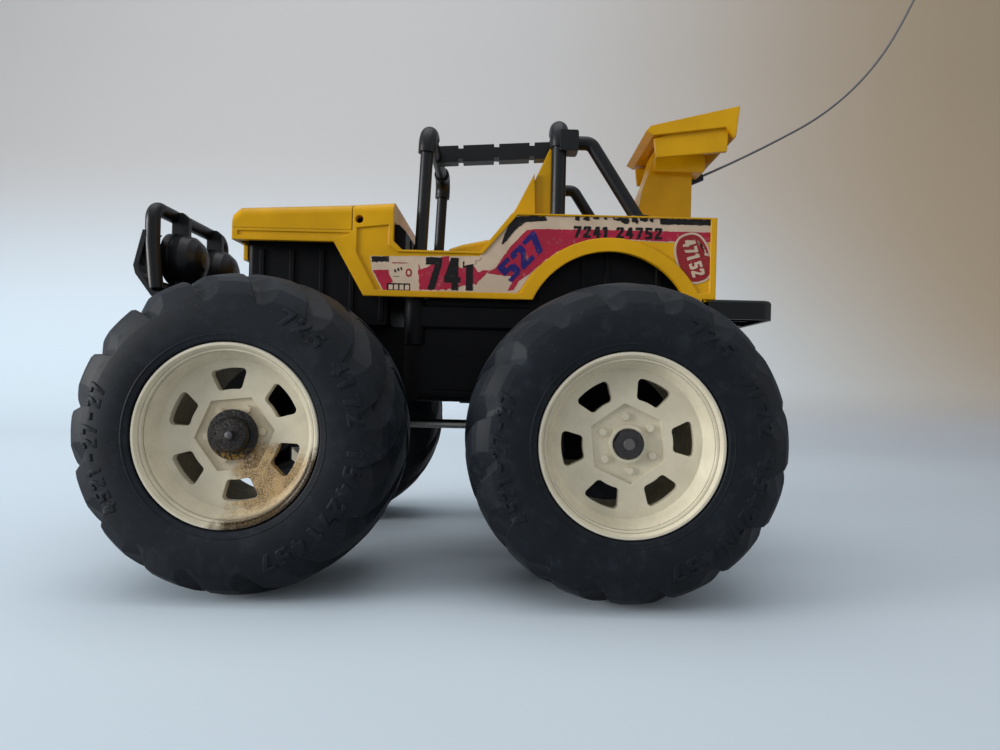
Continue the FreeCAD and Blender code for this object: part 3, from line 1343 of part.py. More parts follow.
# ---- building -----------------------------------------------------------------------
def build_wheels():
    """Rims, tyres and hub pieces at all four corners."""
    front_rim = rim(stub_radius, front_wheel_turn)
    rear_rim = rim(axle_radius, rear_wheel_turn)
    tyre_shape = tyre()
    nut = hub_nut()
    cap = hub_cap()
    names = ((1, "left"), (-1, "right"))
    for side, name in names:
        save("rim_front_" + name, at_wheel(front_rim, 0, side))
        save("rim_rear_" + name, at_wheel(rear_rim, rear_axle_x, side))
        save("tyre_front_" + name, at_wheel(tyre_shape, 0, side))
        save("tyre_rear_" + name, at_wheel(tyre_shape, rear_axle_x, side))
        save("hub_cap_" + name, at_wheel(cap, 0, side))
    save("rear_hub_nuts", *[at_wheel(nut, rear_axle_x, side) for side, name in names])


def build_drive():
    """Motor, gears, shafts and the two gear cases."""
    save("rear_gear_case", rear_gear_case())
    save("front_gear_case", front_gear_case())
    save("axle_bushes", *bushes(rear_axle_x, rear_tube_y), *bushes(0, yoke_y))
    save("drive_motor", motor_can())
    save("motor_rotor", motor_rotor())
    save("motor_pinion", motor_pinion())
    save("idler_gear", idler_gear())
    save("axle_gear", axle_gear())
    reach = wheel_face_y - 5.6
    save("rear_axle_shaft", rod((rear_axle_x, -reach, axle_z), (rear_axle_x, reach, axle_z),
                                axle_radius))
    save("rear_crown_gear", crown_gear(rear_axle_x, 1, axle_radius))
    save("front_crown_gear", crown_gear(0, -1, axle_radius))
    save("propeller_shaft", rod((rear_axle_x + pinion_big_end + 2.0, 0, axle_z),
                                (-pinion_big_end - 2.0, 0, axle_z), prop_radius))
    save("propeller_bevels", prop_pinion(rear_axle_x, 1), prop_pinion(0, -1))
    save("front_axle_shaft", front_axle_shaft())


def build_steering():
    """Knuckles, stub shafts, tie rod and servo."""
    save("knuckle_left", knuckle())
    save("knuckle_right", mirrored(knuckle()))
    save("stub_left", stub())
    save("stub_right", mirrored(stub()))
    save("tie_rod", tie_rod())
    save("steering_servo", servo())
    save("servo_arm", servo_arm())


def build_chassis():
    """Tub, inner boxes, battery, electronics and switch."""
    save("chassis_tub", tub())
    save("engine_bay", engine_bay())
    save("bed_box", bed_box())
    save("cockpit_tray", cockpit_tray())
    save("battery_door", battery_door())
    save("battery_cells", *battery_cells())
    save("battery_contacts", *battery_contacts())
    save("tub_fittings", battery_holder(), switch_housing())
    save("circuit_board", circuit_board())
    save("board_parts", *board_parts())
    save("power_switch", power_switch())


def build_body():
    """Body, seats, cage, wing, bumpers, lamps and aerial."""
    save("body_shell", body_shell())
    save("hood", hood())
    save("dashboard", dashboard())
    save("seats", seat(1), seat(-1))
    save("front_hoop", front_hoop())
    save("rear_hoop", rear_hoop())
    save("spine_bar", spine_bar())
    save("rear_braces", brace(1), brace(-1))
    save("wing", wing())
    save("wing_tower", wing_tower())
    save("antenna_socket", antenna_socket())
    save("antenna_whip", antenna_whip())
    save("bull_bar", bull_bar())
    save("lamp_housings", lamp_housing(), mirrored(lamp_housing()))
    save("lamp_lenses", lamp_lens(), mirrored(lamp_lens()))
    save("rear_bumper", rear_bumper())
    save("body_screws", *body_screws())


os.makedirs("parts", exist_ok=True)
build_wheels()
build_drive()
build_steering()
build_chassis()
build_body()
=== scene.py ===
import math
import random

import bmesh
import bpy
from mathutils import Matrix, Vector, noise
from mathutils.bvhtree import BVHTree


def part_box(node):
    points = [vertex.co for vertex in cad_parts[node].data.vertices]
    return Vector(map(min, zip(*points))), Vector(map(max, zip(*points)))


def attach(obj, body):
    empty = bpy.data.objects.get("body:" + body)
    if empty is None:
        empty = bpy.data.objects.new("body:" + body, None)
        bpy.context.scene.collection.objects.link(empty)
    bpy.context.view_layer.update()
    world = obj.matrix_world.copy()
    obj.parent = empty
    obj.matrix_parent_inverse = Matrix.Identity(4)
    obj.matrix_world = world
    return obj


bl_info = {
    "name": "Remote control car",
    "version": (1, 0, 0),
    "blender": (4, 5, 0),
    "location": "3D View > Sidebar > Car",
    "description": "Dresses the packed remote control car with finishes, stickers and small parts",
    "category": "Object",
}

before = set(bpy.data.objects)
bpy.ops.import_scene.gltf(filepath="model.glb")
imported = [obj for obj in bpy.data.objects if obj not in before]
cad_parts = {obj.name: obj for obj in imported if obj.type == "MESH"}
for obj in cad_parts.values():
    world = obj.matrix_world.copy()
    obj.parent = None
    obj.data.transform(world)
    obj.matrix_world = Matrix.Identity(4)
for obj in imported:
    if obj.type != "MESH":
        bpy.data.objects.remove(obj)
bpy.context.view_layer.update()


# ---- places on the car ---------------------------------------------------------------
def middle(node):
    """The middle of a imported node's box."""
    low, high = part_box(node)
    return (Vector(low) + Vector(high)) / 2


MM = 0.001
FRONT_AXLE = middle("tyre_front_left")
REAR_AXLE = middle("tyre_rear_left")
AXLE_Z = FRONT_AXLE.z
WHEEL_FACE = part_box("rim_front_left")[1][1]
PANEL_Y = 46.2 * MM              # flat side of the body, under the stickers
PANEL_GAP = 0.04 * MM            # air under the lowest sticker
LAMP_Y = 19.0 * MM
CREASE = math.radians(35)        # smooth pieces keep edges sharper than this
WHEELS = (                       # name, body, x of the axle, side
    ("front_left", "left_front_wheel", FRONT_AXLE.x, 1),
    ("front_right", "right_front_wheel", FRONT_AXLE.x, -1),
    ("rear_left", "rear_axle", REAR_AXLE.x, 1),
    ("rear_right", "rear_axle", REAR_AXLE.x, -1),
)


def side_name(side):
    return "left" if side > 0 else "right"


def car(x, y, z):
    """A point given in millimetres from the front axle's line on the ground."""
    return Vector((FRONT_AXLE.x + x * MM, y * MM, z * MM))


# ---- sizes and colours that a user may change ------------------------------------------
class CarColours(bpy.types.PropertyGroup):
    """Colours of the car's plastics, rubber and stickers."""

    def colour(name, description, value):
        return bpy.props.FloatVectorProperty(
            name=name, description=description, default=value, subtype="COLOR", size=3,
            min=0.0, max=1.0)

    body: colour("Body", "Yellow of the moulded body", (0.70, 0.368, 0.003))
    chassis: colour("Chassis", "Black of the chassis plastic", (0.0024, 0.0027, 0.0038))
    bars: colour("Bars", "Black of the cage and the bumpers", (0.0046, 0.0056, 0.0078))
    # Rubber and tyre dust are tinted blue as a painted sky reflection, over the near-black rubber
    # and its real grey dust.
    rubber: colour("Rubber", "Tyre rubber", (0.0038, 0.0066, 0.0108))
    rubber_dust_and_reflection: colour("Tyre dust", "Dust in the tread and on the side walls",
                        (0.036, 0.047, 0.060))
    wheel: colour("Wheel", "Cream of the wheels", (0.76, 0.70, 0.53))
    scorch: colour("Scorch", "Brown of the burnt patch on a wheel", (0.085, 0.040, 0.010))
    ochre: colour("Ochre", "Yellow stain round the burnt patch", (0.50, 0.265, 0.030))
    paper: colour("Sticker base", "Base of the stickers", (0.62, 0.48, 0.35))
    magenta: colour("Magenta", "Magenta of the stickers", (0.40, 0.013, 0.044))
    blue: colour("Blue", "Blue of the stickers", (0.015, 0.010, 0.14))
    ink: colour("Ink", "Black of the stickers", (0.0060, 0.0045, 0.0055))
    red: colour("Red", "Red of the oval sticker", (0.29, 0.016, 0.020))
    backdrop: colour("Backdrop", "Floor and backdrop, as they light the car", (0.42, 0.44, 0.47))
    # Painted light and painted shade: the four colours below run the floor and wall from a painted
    # lit side to a painted shaded side, warm on the wall; only the camera sees them.
    floor_painted_lit: colour("Floor, light side", "As the camera sees it", (0.77, 0.90, 1.0))
    floor_painted_shade: colour("Floor, dusky side", "As the camera sees it", (0.49, 0.51, 0.54))
    wall_painted_lit: colour("Wall, light side", "As the camera sees it", (0.59, 0.585, 0.58))
    wall_painted_warm_shade: colour("Wall, warm side", "As the camera sees it", (0.49, 0.39, 0.275))


class CarSizes(bpy.types.PropertyGroup):
    """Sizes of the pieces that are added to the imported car."""

    def length(name, description, value, low, high):
        return bpy.props.FloatProperty(name=name, description=description, default=value,
                                       min=low, max=high, unit="LENGTH")

    sticker: length("Sticker thickness", "Thickness of one sticker layer", 0.00007, 0.00002,
                    0.0005)
    tear: length("Tear depth", "How far the torn edges of the stickers wander", 0.0007, 0.0, 0.003)
    side_ring: length("Side wall ring", "Width of the raised ring on each tyre", 0.0009, 0.0002,
                      0.004)
    thread_pitch: length("Thread pitch", "Pitch of the rear axle's screw ends", 0.0007, 0.0003,
                         0.002)
    bulb: length("Bulb radius", "Radius of the lamp bulbs", 0.0022, 0.001, 0.004)
    relief: length("Tyre numerals", "How far the numerals stand off the tyres' side walls", 0.0004,
                   0.0, 0.001)


class StageSettings(bpy.types.PropertyGroup):
    """The camera's lens and the lamps."""

    def power(name, description, value):
        return bpy.props.FloatProperty(name=name, description=description, default=value,
                                       min=0.0, subtype="POWER", unit="POWER")

    lens: bpy.props.FloatProperty(
        name="Lens", description="Focal length of the camera", default=24.01, min=10.0,
        max=200.0)
    roll: bpy.props.FloatProperty(
        name="Roll", description="Tilt of the camera about its own axis",
        default=math.radians(1.4), subtype="ANGLE")
    key: power("Key light", "Power of the main lamp; the top and rear ones follow it", 38.0)
    wall: power("Wall light", "Power of the lamp on the backdrop", 11.0)
    sky: bpy.props.FloatProperty(
        name="Sky", description="Strength of the even light from all round", default=0.46,
        min=0.0)


# ---- node building ----------------------------------------------------------------------
class Finish:
    """A node material under construction, with short calls for the usual nodes."""

    def __init__(self, name):
        self.material = bpy.data.materials.new(name)
        self.material.use_nodes = True
        self.tree = self.material.node_tree
        self.tree.nodes.clear()
        self.surface = self.add("ShaderNodeBsdfPrincipled")
        output = self.add("ShaderNodeOutputMaterial")
        self.link(self.surface.outputs[0], output.inputs[0])
        self.place = self.add("ShaderNodeTexCoord").outputs["Object"]

    def add(self, kind, **settings):
        node = self.tree.nodes.new(kind)
        for key, value in settings.items():
            setattr(node, key, value)
        return node

    def link(self, source, target):
        self.tree.links.new(source, target)

    def feed(self, socket, value):
        """Sets a socket to a plain value or links it."""
        if isinstance(value, bpy.types.NodeSocket):
            self.link(value, socket)
        elif hasattr(value, "__len__"):
            socket.default_value = tuple(value) + (1.0,) * (len(socket.default_value) - len(value))
        else:
            socket.default_value = value

    def noise(self, scale, detail, rough, stretch=None, distortion=0.0):
        """Noise on the object's own coordinates; scale is in features per metre."""
        node = self.add("ShaderNodeTexNoise")
        node.inputs["Scale"].default_value = scale
        node.inputs["Detail"].default_value = detail
        node.inputs["Roughness"].default_value = rough
        node.inputs["Distortion"].default_value = distortion
        place = self.place
        if stretch:
            mapping = self.add("ShaderNodeMapping")
            mapping.inputs["Scale"].default_value = stretch
            self.link(place, mapping.inputs["Vector"])
            place = mapping.outputs[0]
        self.link(place, node.inputs["Vector"])
        return node.outputs["Fac"]

    def ramp(self, value, low, high, bottom=0.0, top=1.0):
        """Maps low to high onto bottom to top, clamped."""
        node = self.add("ShaderNodeMapRange", interpolation_type="SMOOTHSTEP")
        for socket, number in zip(("Value", "From Min", "From Max", "To Min", "To Max"),
                                  (value, low, high, bottom, top)):
            self.feed(node.inputs[socket], number)
        return node.outputs[0]

    def math(self, operation, first, second=0.0):
        node = self.add("ShaderNodeMath", operation=operation)
        self.feed(node.inputs[0], first)
        self.feed(node.inputs[1], second)
        return node.outputs[0]

    def plus(self, first, second):
        return self.math("ADD", first, second)

    def times(self, first, second):
        return self.math("MULTIPLY", first, second)

    def mix(self, share, first, second):
        """Blends two colours; a share of 1 gives the second."""
        node = self.add("ShaderNodeMix", data_type="RGBA")
        self.feed(node.inputs[0], share)
        self.feed(node.inputs[6], first)
        self.feed(node.inputs[7], second)
        return node.outputs[2]

    def upward(self):
        """1 where the surface faces up, 0 where it faces sideways or down."""
        split = self.add("ShaderNodeSeparateXYZ")
        self.link(self.add("ShaderNodeNewGeometry").outputs["Normal"], split.inputs[0])
        return self.ramp(split.outputs["Z"], 0.2, 0.95)

    def axis(self, letter):
        """One of the object's own coordinates."""
        split = self.add("ShaderNodeSeparateXYZ")
        self.link(self.place, split.inputs[0])
        return split.outputs[letter]

    def polar(self, hub):
        """Distance from a wheel's axis, and the two offsets it is made of."""
        split = self.add("ShaderNodeSeparateXYZ")
        offset = self.add("ShaderNodeVectorMath", operation="SUBTRACT")
        self.link(self.place, offset.inputs[0])
        offset.inputs[1].default_value = hub
        self.link(offset.outputs[0], split.inputs[0])
        across, up = split.outputs["X"], split.outputs["Z"]
        squares = self.plus(self.times(across, across), self.times(up, up))
        return self.math("SQRT", squares), across, up

    def bump(self, height, distance, strength, edge=0.0):
        """Surface relief; edge is the radius that softens the corners in the light."""
        node = self.add("ShaderNodeBump")
        if edge:
            soft = self.add("ShaderNodeBevel", samples=4)
            soft.inputs["Radius"].default_value = edge
            self.link(soft.outputs[0], node.inputs["Normal"])
        node.inputs["Distance"].default_value = distance
        node.inputs["Strength"].default_value = strength
        self.link(height, node.inputs["Height"])
        self.link(node.outputs[0], self.surface.inputs["Normal"])

    def set(self, **values):
        """Sets the surface's sockets; underscores stand for spaces."""
        for name, value in values.items():
            self.feed(self.surface.inputs[name.replace("_", " ")], value)


def shade(colour, factor):
    """A lighter or darker version of a colour."""
    return tuple(min(channel * factor, 1.0) for channel in colour)


def moulded_plastic(name, colour, rough, grain, dust, dust_colour=(0.30, 0.28, 0.25),
                    scuffs=0.35, coat=0.0, specular=0.35, edge=0.0004):
    """Moulded plastic: slight mottling, hairline scuffs, dust that settles on top."""
    finish = Finish(name)
    broad = finish.noise(34, 3, 0.6)
    fine = finish.noise(1500, 2, 0.5)
    streaks = finish.noise(260, 4, 0.7)
    base = finish.mix(finish.ramp(broad, 0.32, 0.72), shade(colour, 0.86), shade(colour, 1.07))
    scratch = finish.ramp(finish.noise(900, 5, 0.75, (0.12, 1.0, 1.0), 1.6), 0.62, 0.70)
    base = finish.mix(finish.times(scratch, 0.30 * scuffs), base,
                      shade(colour, 1.5 if max(colour) < 0.1 else 0.7))
    settle = finish.times(finish.upward(),
                          finish.ramp(finish.noise(90, 6, 0.7), 0.35, 0.75))
    base = finish.mix(finish.times(settle, dust), base, dust_colour)
    roughness = finish.plus(finish.ramp(streaks, 0.3, 0.8, rough - 0.02, rough + 0.05),
                            finish.times(settle, 0.25 * dust))
    finish.set(Base_Color=base, Roughness=roughness, Coat_Weight=coat, Coat_Roughness=0.12,
               Specular_IOR_Level=specular)
    height = finish.plus(finish.times(fine, grain), finish.times(scratch, -0.5 * scuffs))
    finish.bump(height, 0.00005, 0.55, edge)
    return finish.material


def tyre_rubber(name, colour, dust_colour):
    """Worn rubber: matt side walls, dusty tread, fine grain."""
    finish = Finish(name)
    broad = finish.noise(60, 5, 0.65)
    blotch = finish.ramp(finish.noise(140, 6, 0.7), 0.48, 0.78)
    grain = finish.noise(2600, 3, 0.6)
    # colour and dust_colour come tinted blue as a painted sky reflection; the dust itself is real
    base = finish.mix(finish.ramp(broad, 0.3, 0.7), shade(colour, 0.75), shade(colour, 1.35))
    base = finish.mix(finish.times(blotch, 0.42), base, dust_colour)
    specks = finish.ramp(finish.noise(1100, 2, 0.5), 0.70, 0.76)
    base = finish.mix(finish.times(specks, 0.35), base, shade(dust_colour, 2.4))
    finish.set(Base_Color=base, Roughness=finish.ramp(blotch, 0.0, 1.0, 0.52, 0.80),
               Specular_IOR_Level=0.25, Sheen_Weight=0.05, Sheen_Roughness=0.5,
               Sheen_Tint=(0.75, 0.88, 1.0))
    finish.bump(finish.plus(finish.times(broad, 0.7), grain), 0.00008, 0.5, 0.0009)
    return finish.material


LIP_HIGHLIGHT_INNER, LIP_HIGHLIGHT_OUTER = 0.0335, 0.0342       # ring of the wheel's lip that carries a painted highlight
BURN_LEAN = math.radians(52)                # how far below level the burnt patch lies, rearwards


def wheel_plastic(name, colour, hub):
    """Cream wheel plastic: grime in the pockets, dark nicks, and a painted highlight on a ring of
    the lip.
    """
    finish = Finish(name)
    broad = finish.noise(70, 4, 0.6)
    grime = finish.ramp(finish.noise(210, 7, 0.72), 0.50, 0.80)
    specks = finish.ramp(finish.noise(900, 3, 0.6), 0.68, 0.74)
    nicks = finish.ramp(finish.noise(420, 6, 0.8, (1.0, 1.0, 0.3), 1.2), 0.66, 0.69)
    radius, across, up = finish.polar(hub)
    # lip masks the ring of the lip that gets a painted highlight
    lip = finish.ramp(radius, LIP_HIGHLIGHT_INNER, LIP_HIGHLIGHT_OUTER)
    base = finish.mix(finish.ramp(broad, 0.3, 0.75), shade(colour, 0.88), shade(colour, 1.05))
    # the pale cream tint on the lip ring is a painted highlight
    for share, amount, tint in ((grime, 0.26, shade(colour, 0.5)), (lip, 0.7, (0.83, 0.79, 0.68)),
                                (specks, 0.4, (0.16, 0.12, 0.08)),
                                (nicks, 0.45, (0.12, 0.10, 0.08))):
        base = finish.mix(finish.times(share, amount), base, tint)
    finish.set(Base_Color=base, Roughness=finish.ramp(grime, 0.0, 1.0, 0.26, 0.52),
               Specular_IOR_Level=0.55)
    height = finish.plus(finish.noise(1300, 3, 0.6), finish.times(nicks, -1.5))
    finish.bump(height, 0.00004, 0.6, 0.0004)
    return finish, base, radius, across, up


def scorched(finish, base, radius, across, up, scorch, ochre):
    """Burns a wheel: ochre round the hub, a brown patch below it, black crumbs on the lip."""
    towards = finish.plus(finish.times(across, -math.cos(BURN_LEAN)),
                          finish.times(up, -math.sin(BURN_LEAN)))
    share = finish.math("DIVIDE", towards, finish.math("MAXIMUM", radius, 0.001))
    wander = finish.times(finish.math("SUBTRACT", finish.noise(150, 6, 0.72), 0.5), 0.5)
    share = finish.plus(share, wander)
    crumbs = finish.ramp(finish.noise(1800, 5, 0.75), 0.42, 0.58)
    cloud = finish.ramp(finish.noise(230, 6, 0.7), 0.36, 0.62)

    ring = finish.times(finish.ramp(radius, 0.0170, 0.0105), 0.3)
    fan = finish.times(finish.ramp(share, 0.70, 0.93), finish.ramp(radius, 0.0345, 0.026))
    tint = finish.ramp(crumbs, 0.0, 1.0, 0.45, 0.85)
    stain = finish.math("MAXIMUM", finish.times(ring, tint), finish.times(fan, tint))
    base = finish.mix(stain, base, ochre)
    burnt = finish.times(finish.times(fan, cloud), finish.ramp(crumbs, 0.0, 1.0, 0.15, 0.85))
    base = finish.mix(burnt, base, scorch)
    lip = finish.times(finish.ramp(share, 0.64, 0.84), finish.ramp(radius, 0.0300, 0.0325))
    base = finish.mix(finish.times(lip, 0.9), base, shade(ochre, 0.3))
    base = finish.mix(finish.times(lip, finish.ramp(crumbs, 0.0, 1.0, 0.5, 1.0)), base,
                      shade(scorch, 0.12))
    finish.set(Base_Color=base)


def burnt_cap(name, colour, crust, middle_z):
    """A hub cap that has been hot: glossy black, blistered, with ochre crumbs at the bottom."""
    finish = Finish(name)
    blisters = finish.noise(520, 6, 0.75, None, 0.8)
    crumbs = finish.ramp(finish.noise(900, 4, 0.7), 0.46, 0.58)
    base = finish.mix(finish.ramp(blisters, 0.35, 0.7), shade(colour, 0.4), shade(colour, 1.4))
    below = finish.ramp(finish.axis("Z"), middle_z - 0.0045, middle_z - 0.0085, 0.06, 0.95)
    base = finish.mix(finish.times(crumbs, below), base, crust)
    finish.set(Base_Color=base, Roughness=finish.ramp(blisters, 0.3, 0.7, 0.16, 0.42),
               Specular_IOR_Level=0.35)
    finish.bump(finish.plus(blisters, finish.times(crumbs, below)), 0.0005, 0.8)
    return finish.material


def sticker_print(name, colour, wear):
    """Printed vinyl: slightly glossy, with rubbed and crazed spots."""
    finish = Finish(name)
    rub = finish.ramp(finish.noise(260, 6, 0.75), 0.56, 0.66)
    craze = finish.ramp(finish.noise(900, 6, 0.8, None, 2.0), 0.60, 0.66)
    base = finish.mix(finish.ramp(finish.noise(80, 3, 0.5), 0.3, 0.7), shade(colour, 0.88),
                      shade(colour, 1.06))
    worn = finish.times(finish.math("MAXIMUM", rub, craze), wear)
    base = finish.mix(worn, base, (0.47, 0.42, 0.34))
    finish.set(Base_Color=base, Roughness=finish.ramp(rub, 0.0, 1.0, 0.34, 0.59),
               Specular_IOR_Level=0.3)
    finish.bump(finish.noise(700, 4, 0.6), 0.00004, 0.5)
    return finish.material


EVEN, ALONG_Y, ALONG_Z = (1, 1, 1), (1, 0.06, 1), (1, 1, 0.1)     # ways that tool lines run


def bare_metal(name, colour, rough, stretch=ALONG_Y, tarnish=0.3):
    """Turned or drawn metal with tool lines and a little tarnish."""
    finish = Finish(name)
    lines = finish.noise(2400, 3, 0.6, stretch)
    dull = finish.ramp(finish.noise(160, 5, 0.7), 0.45, 0.8)
    base = finish.mix(finish.times(dull, tarnish), colour, shade(colour, 0.45))
    finish.set(Base_Color=base, Metallic=1.0,
               Roughness=finish.ramp(lines, 0.25, 0.75, rough - 0.08, rough + 0.14))
    finish.bump(lines, 0.00003, 0.4)
    return finish.material


def clear_plastic(name):
    """Clear moulded lens with faint ribs."""
    finish = Finish(name)
    ribs = finish.add("ShaderNodeTexWave", wave_type="BANDS", bands_direction="Y")
    ribs.inputs["Scale"].default_value = 180
    finish.link(finish.place, ribs.inputs["Vector"])
    finish.set(Base_Color=(0.95, 0.95, 0.92), Roughness=0.08, IOR=1.49,
               Transmission_Weight=0.92)
    finish.bump(ribs.outputs["Fac"], 0.0002, 0.35)
    return finish.material


def backdrop_paper(name, lit, floor, wall):
    """Plain pale floor and wall, each running from a painted lit side to a painted shaded, dusky
    one; the camera sees this painted light and shade, lamps see lit.
    """
    finish = Finish(name)
    seen = finish.add("ShaderNodeLightPath").outputs["Is Camera Ray"]
    low, high = finish.ramp(finish.axis("Z"), 0.0, 0.1), finish.ramp(finish.axis("Z"), 0.1, 0.8)
    drift = finish.plus(finish.axis("X"), finish.times(low, 0.45))
    drift = finish.plus(drift, finish.times(finish.noise(2, 2, 0.4), 0.1))
    # side runs from the painted shade at low x to the painted light at high x
    side = finish.ramp(drift, -0.85, 0.55)
    light = finish.mix(high, floor[0], wall[0])
    dusk = finish.mix(low, floor[1], wall[1])
    # camera rays get the painted light and shade, all other rays the plain lit colour
    finish.set(Base_Color=finish.mix(seen, lit, finish.mix(side, dusk, light)), Roughness=0.85,
               Specular_IOR_Level=0.2)
    return finish.material


# ---- mesh building ------------------------------------------------------------------------
def to_object(name, data, material, body=None, smooth=True):
    """Puts a bmesh into a new object, shaded, finished and riding on its body."""
    bmesh.ops.recalc_face_normals(data, faces=data.faces)
    bmesh.ops.triangulate(data, faces=[face for face in data.faces if len(face.verts) > 4])
    mesh = bpy.data.meshes.new(name)
    data.to_mesh(mesh)
    data.free()
    mesh.materials.append(material)
    for polygon in mesh.polygons:
        polygon.use_smooth = smooth
    piece = bpy.data.objects.new(name, mesh)
    bpy.context.scene.collection.objects.link(piece)
    if smooth:
        mesh.set_sharp_from_angle(angle=CREASE)
    if body:
        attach(piece, body)
    return piece


def frame_of(centre, axis):
    """A matrix that takes local z to axis and the origin to centre."""
    return Matrix.Translation(centre) @ Vector(axis).to_track_quat("Z", "Y").to_matrix().to_4x4()


def lathe(data, profile, place, steps):
    """Adds a closed profile of (radius, height) turned about local z."""
    rings = []
    for radius, height in profile:
        ring = []
        for step in range(steps):
            angle = 2 * math.pi * step / steps
            ring.append(data.verts.new(place @ Vector((radius * math.cos(angle),
                                                       radius * math.sin(angle), height))))
        rings.append(ring)
    for near, far in zip(rings, rings[1:] + rings[:1]):
        for step in range(steps):
            after = (step + 1) % steps
            data.faces.new((near[step], near[after], far[after], far[step]))


def turned(name, profile, place, steps, material, body):
    """A piece of its own, turned from one closed profile."""
    data = bmesh.new()
    lathe(data, profile, place, steps)
    return to_object(name, data, material, body)


def slab(data, bottom, top):
    """Adds a closed flat piece between two outlines with as many vertices."""
    data.faces.new(top)
    data.faces.new(list(reversed(bottom)))
    count = len(top)
    for step in range(count):
        after = (step + 1) % count
        data.faces.new((bottom[step], bottom[after], top[after], top[step]))


def ragged(points, depth, seed, pitch=0.0011):
    """Subdivides a closed outline of (x, z) in millimetres and lets its edge wander."""
    out = []
    for start, end in zip(points, points[1:] + points[:1]):
        start, end = Vector((*start, 0)) * MM, Vector((*end, 0)) * MM
        run = end - start
        count = max(int(run.length / pitch), 1)
        side = Vector((-run.y, run.x, 0)).normalized()
        for step in range(count):
            point = start + run * step / count
            wander = noise.fractal(Vector((point.x * 900, point.y * 900, seed)), 1.0, 2.2, 4)
            out.append(point + side * depth * wander)
    return out


def decal(name, points, layer, material, torn, seed, side, layers=1):
    """A thin sticker piece on the body's side; layer 0 lies lowest, torn scales the tear depth."""
    sizes = bpy.context.scene.car_sizes
    outline = ragged(points, sizes.tear * torn, seed) if torn else \
        [Vector((x * MM, z * MM, 0)) for x, z in points]
    low = PANEL_Y + PANEL_GAP + layer * sizes.sticker
    high = low + layers * sizes.sticker
    data = bmesh.new()
    bottom, top = [], []
    for point in outline:
        bottom.append(data.verts.new((FRONT_AXLE.x + point.x, side * low, point.y)))
        top.append(data.verts.new((FRONT_AXLE.x + point.x, side * high, point.y)))
    slab(data, bottom, top)
    return to_object(name + "_" + side_name(side), data, material, "chassis", smooth=False)


class CarOperator:
    """One step of dressing the car, from the settings that the scene holds."""

    def execute(self, context):
        self.dress(context.scene)
        return {"FINISHED"}


def paint(material, *nodes):
    """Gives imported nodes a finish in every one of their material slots."""
    for node in nodes:
        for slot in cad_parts[node].material_slots:
            slot.material = material


# ---- stickers ---------------------------------------------------------------------------
# Outlines as (x, z) in millimetres from the front axle's line on the ground, for both sides.
SIDE_PAPER = [(-39.6, 139.9), (-88.8, 141.0), (-92.4, 145.9), (-101.4, 155.9), (-104.6, 159.4),
              (-150.0, 160.0), (-193.0, 160.0), (-193.4, 149.4), (-172.0, 149.2),
              (-159.0, 149.6), (-146.5, 150.2), (-137.7, 149.2), (-130.8, 146.9),
              (-123.3, 143.4), (-116.8, 138.4), (-112.2, 133.8), (-107.4, 126.6),
              (-105.6, 124.4), (-76.0, 124.2), (-45.4, 124.6), (-40.6, 133.0)]
MAGENTA_BAND = [(-92.4, 133.4), (-94.4, 135.0), (-96.2, 135.9), (-102.4, 145.6), (-109.8, 153.2),
                (-113.0, 153.8), (-150.0, 154.2), (-193.2, 154.2), (-193.2, 149.8),
                (-172.0, 149.6), (-159.0, 150.0), (-146.5, 150.6), (-137.7, 149.6),
                (-130.8, 147.2), (-123.3, 143.7), (-116.8, 138.7), (-112.2, 134.1),
                (-106.8, 130.4), (-104.4, 126.4), (-101.8, 125.6), (-103.6, 129.4),
                (-103.2, 132.4), (-98.4, 132.6)]
BLACK_CORNER = [(-98.6, 146.8), (-100.6, 153.2), (-101.6, 156.0), (-104.4, 159.2), (-117.5, 159.8),
                (-118.7, 157.6), (-109.1, 156.8), (-106.0, 154.6), (-102.3, 150.3),
                (-99.2, 146.4)]
FRONT_BLACK = [(-40.0, 139.7), (-47.9, 140.1), (-48.2, 137.4), (-40.4, 137.2)]
FRONT_MAGENTA = [(-41.0, 133.6), (-48.0, 134.0), (-48.3, 132.0), (-50.2, 128.6), (-47.6, 127.4),
                 (-47.6, 124.9), (-45.8, 124.9)]
DOOR_MAGENTA = [(-61.6, 137.0), (-62.4, 135.1), (-65.6, 135.3), (-71.7, 140.4), (-75.0, 140.6),
                (-75.6, 136.6), (-81.0, 135.6), (-85.6, 137.6), (-88.4, 133.5), (-90.2, 134.8),
                (-94.2, 134.6), (-91.0, 132.6), (-87.6, 128.4), (-83.1, 127.8), (-74.0, 125.6),
                (-62.5, 125.0), (-61.6, 131.5)]
OVAL_TEAR = [(-185.4, 151.6), (-187.4, 149.8), (-192.0, 143.4), (-189.6, 143.8), (-189.4, 147.4),
             (-187.4, 148.2)]
TOP_EDGE = 159.8                 # z of the stickers' upper edge
NUMERAL_GRID = (7.0, 14.0)       # the numerals below are drawn this wide and high
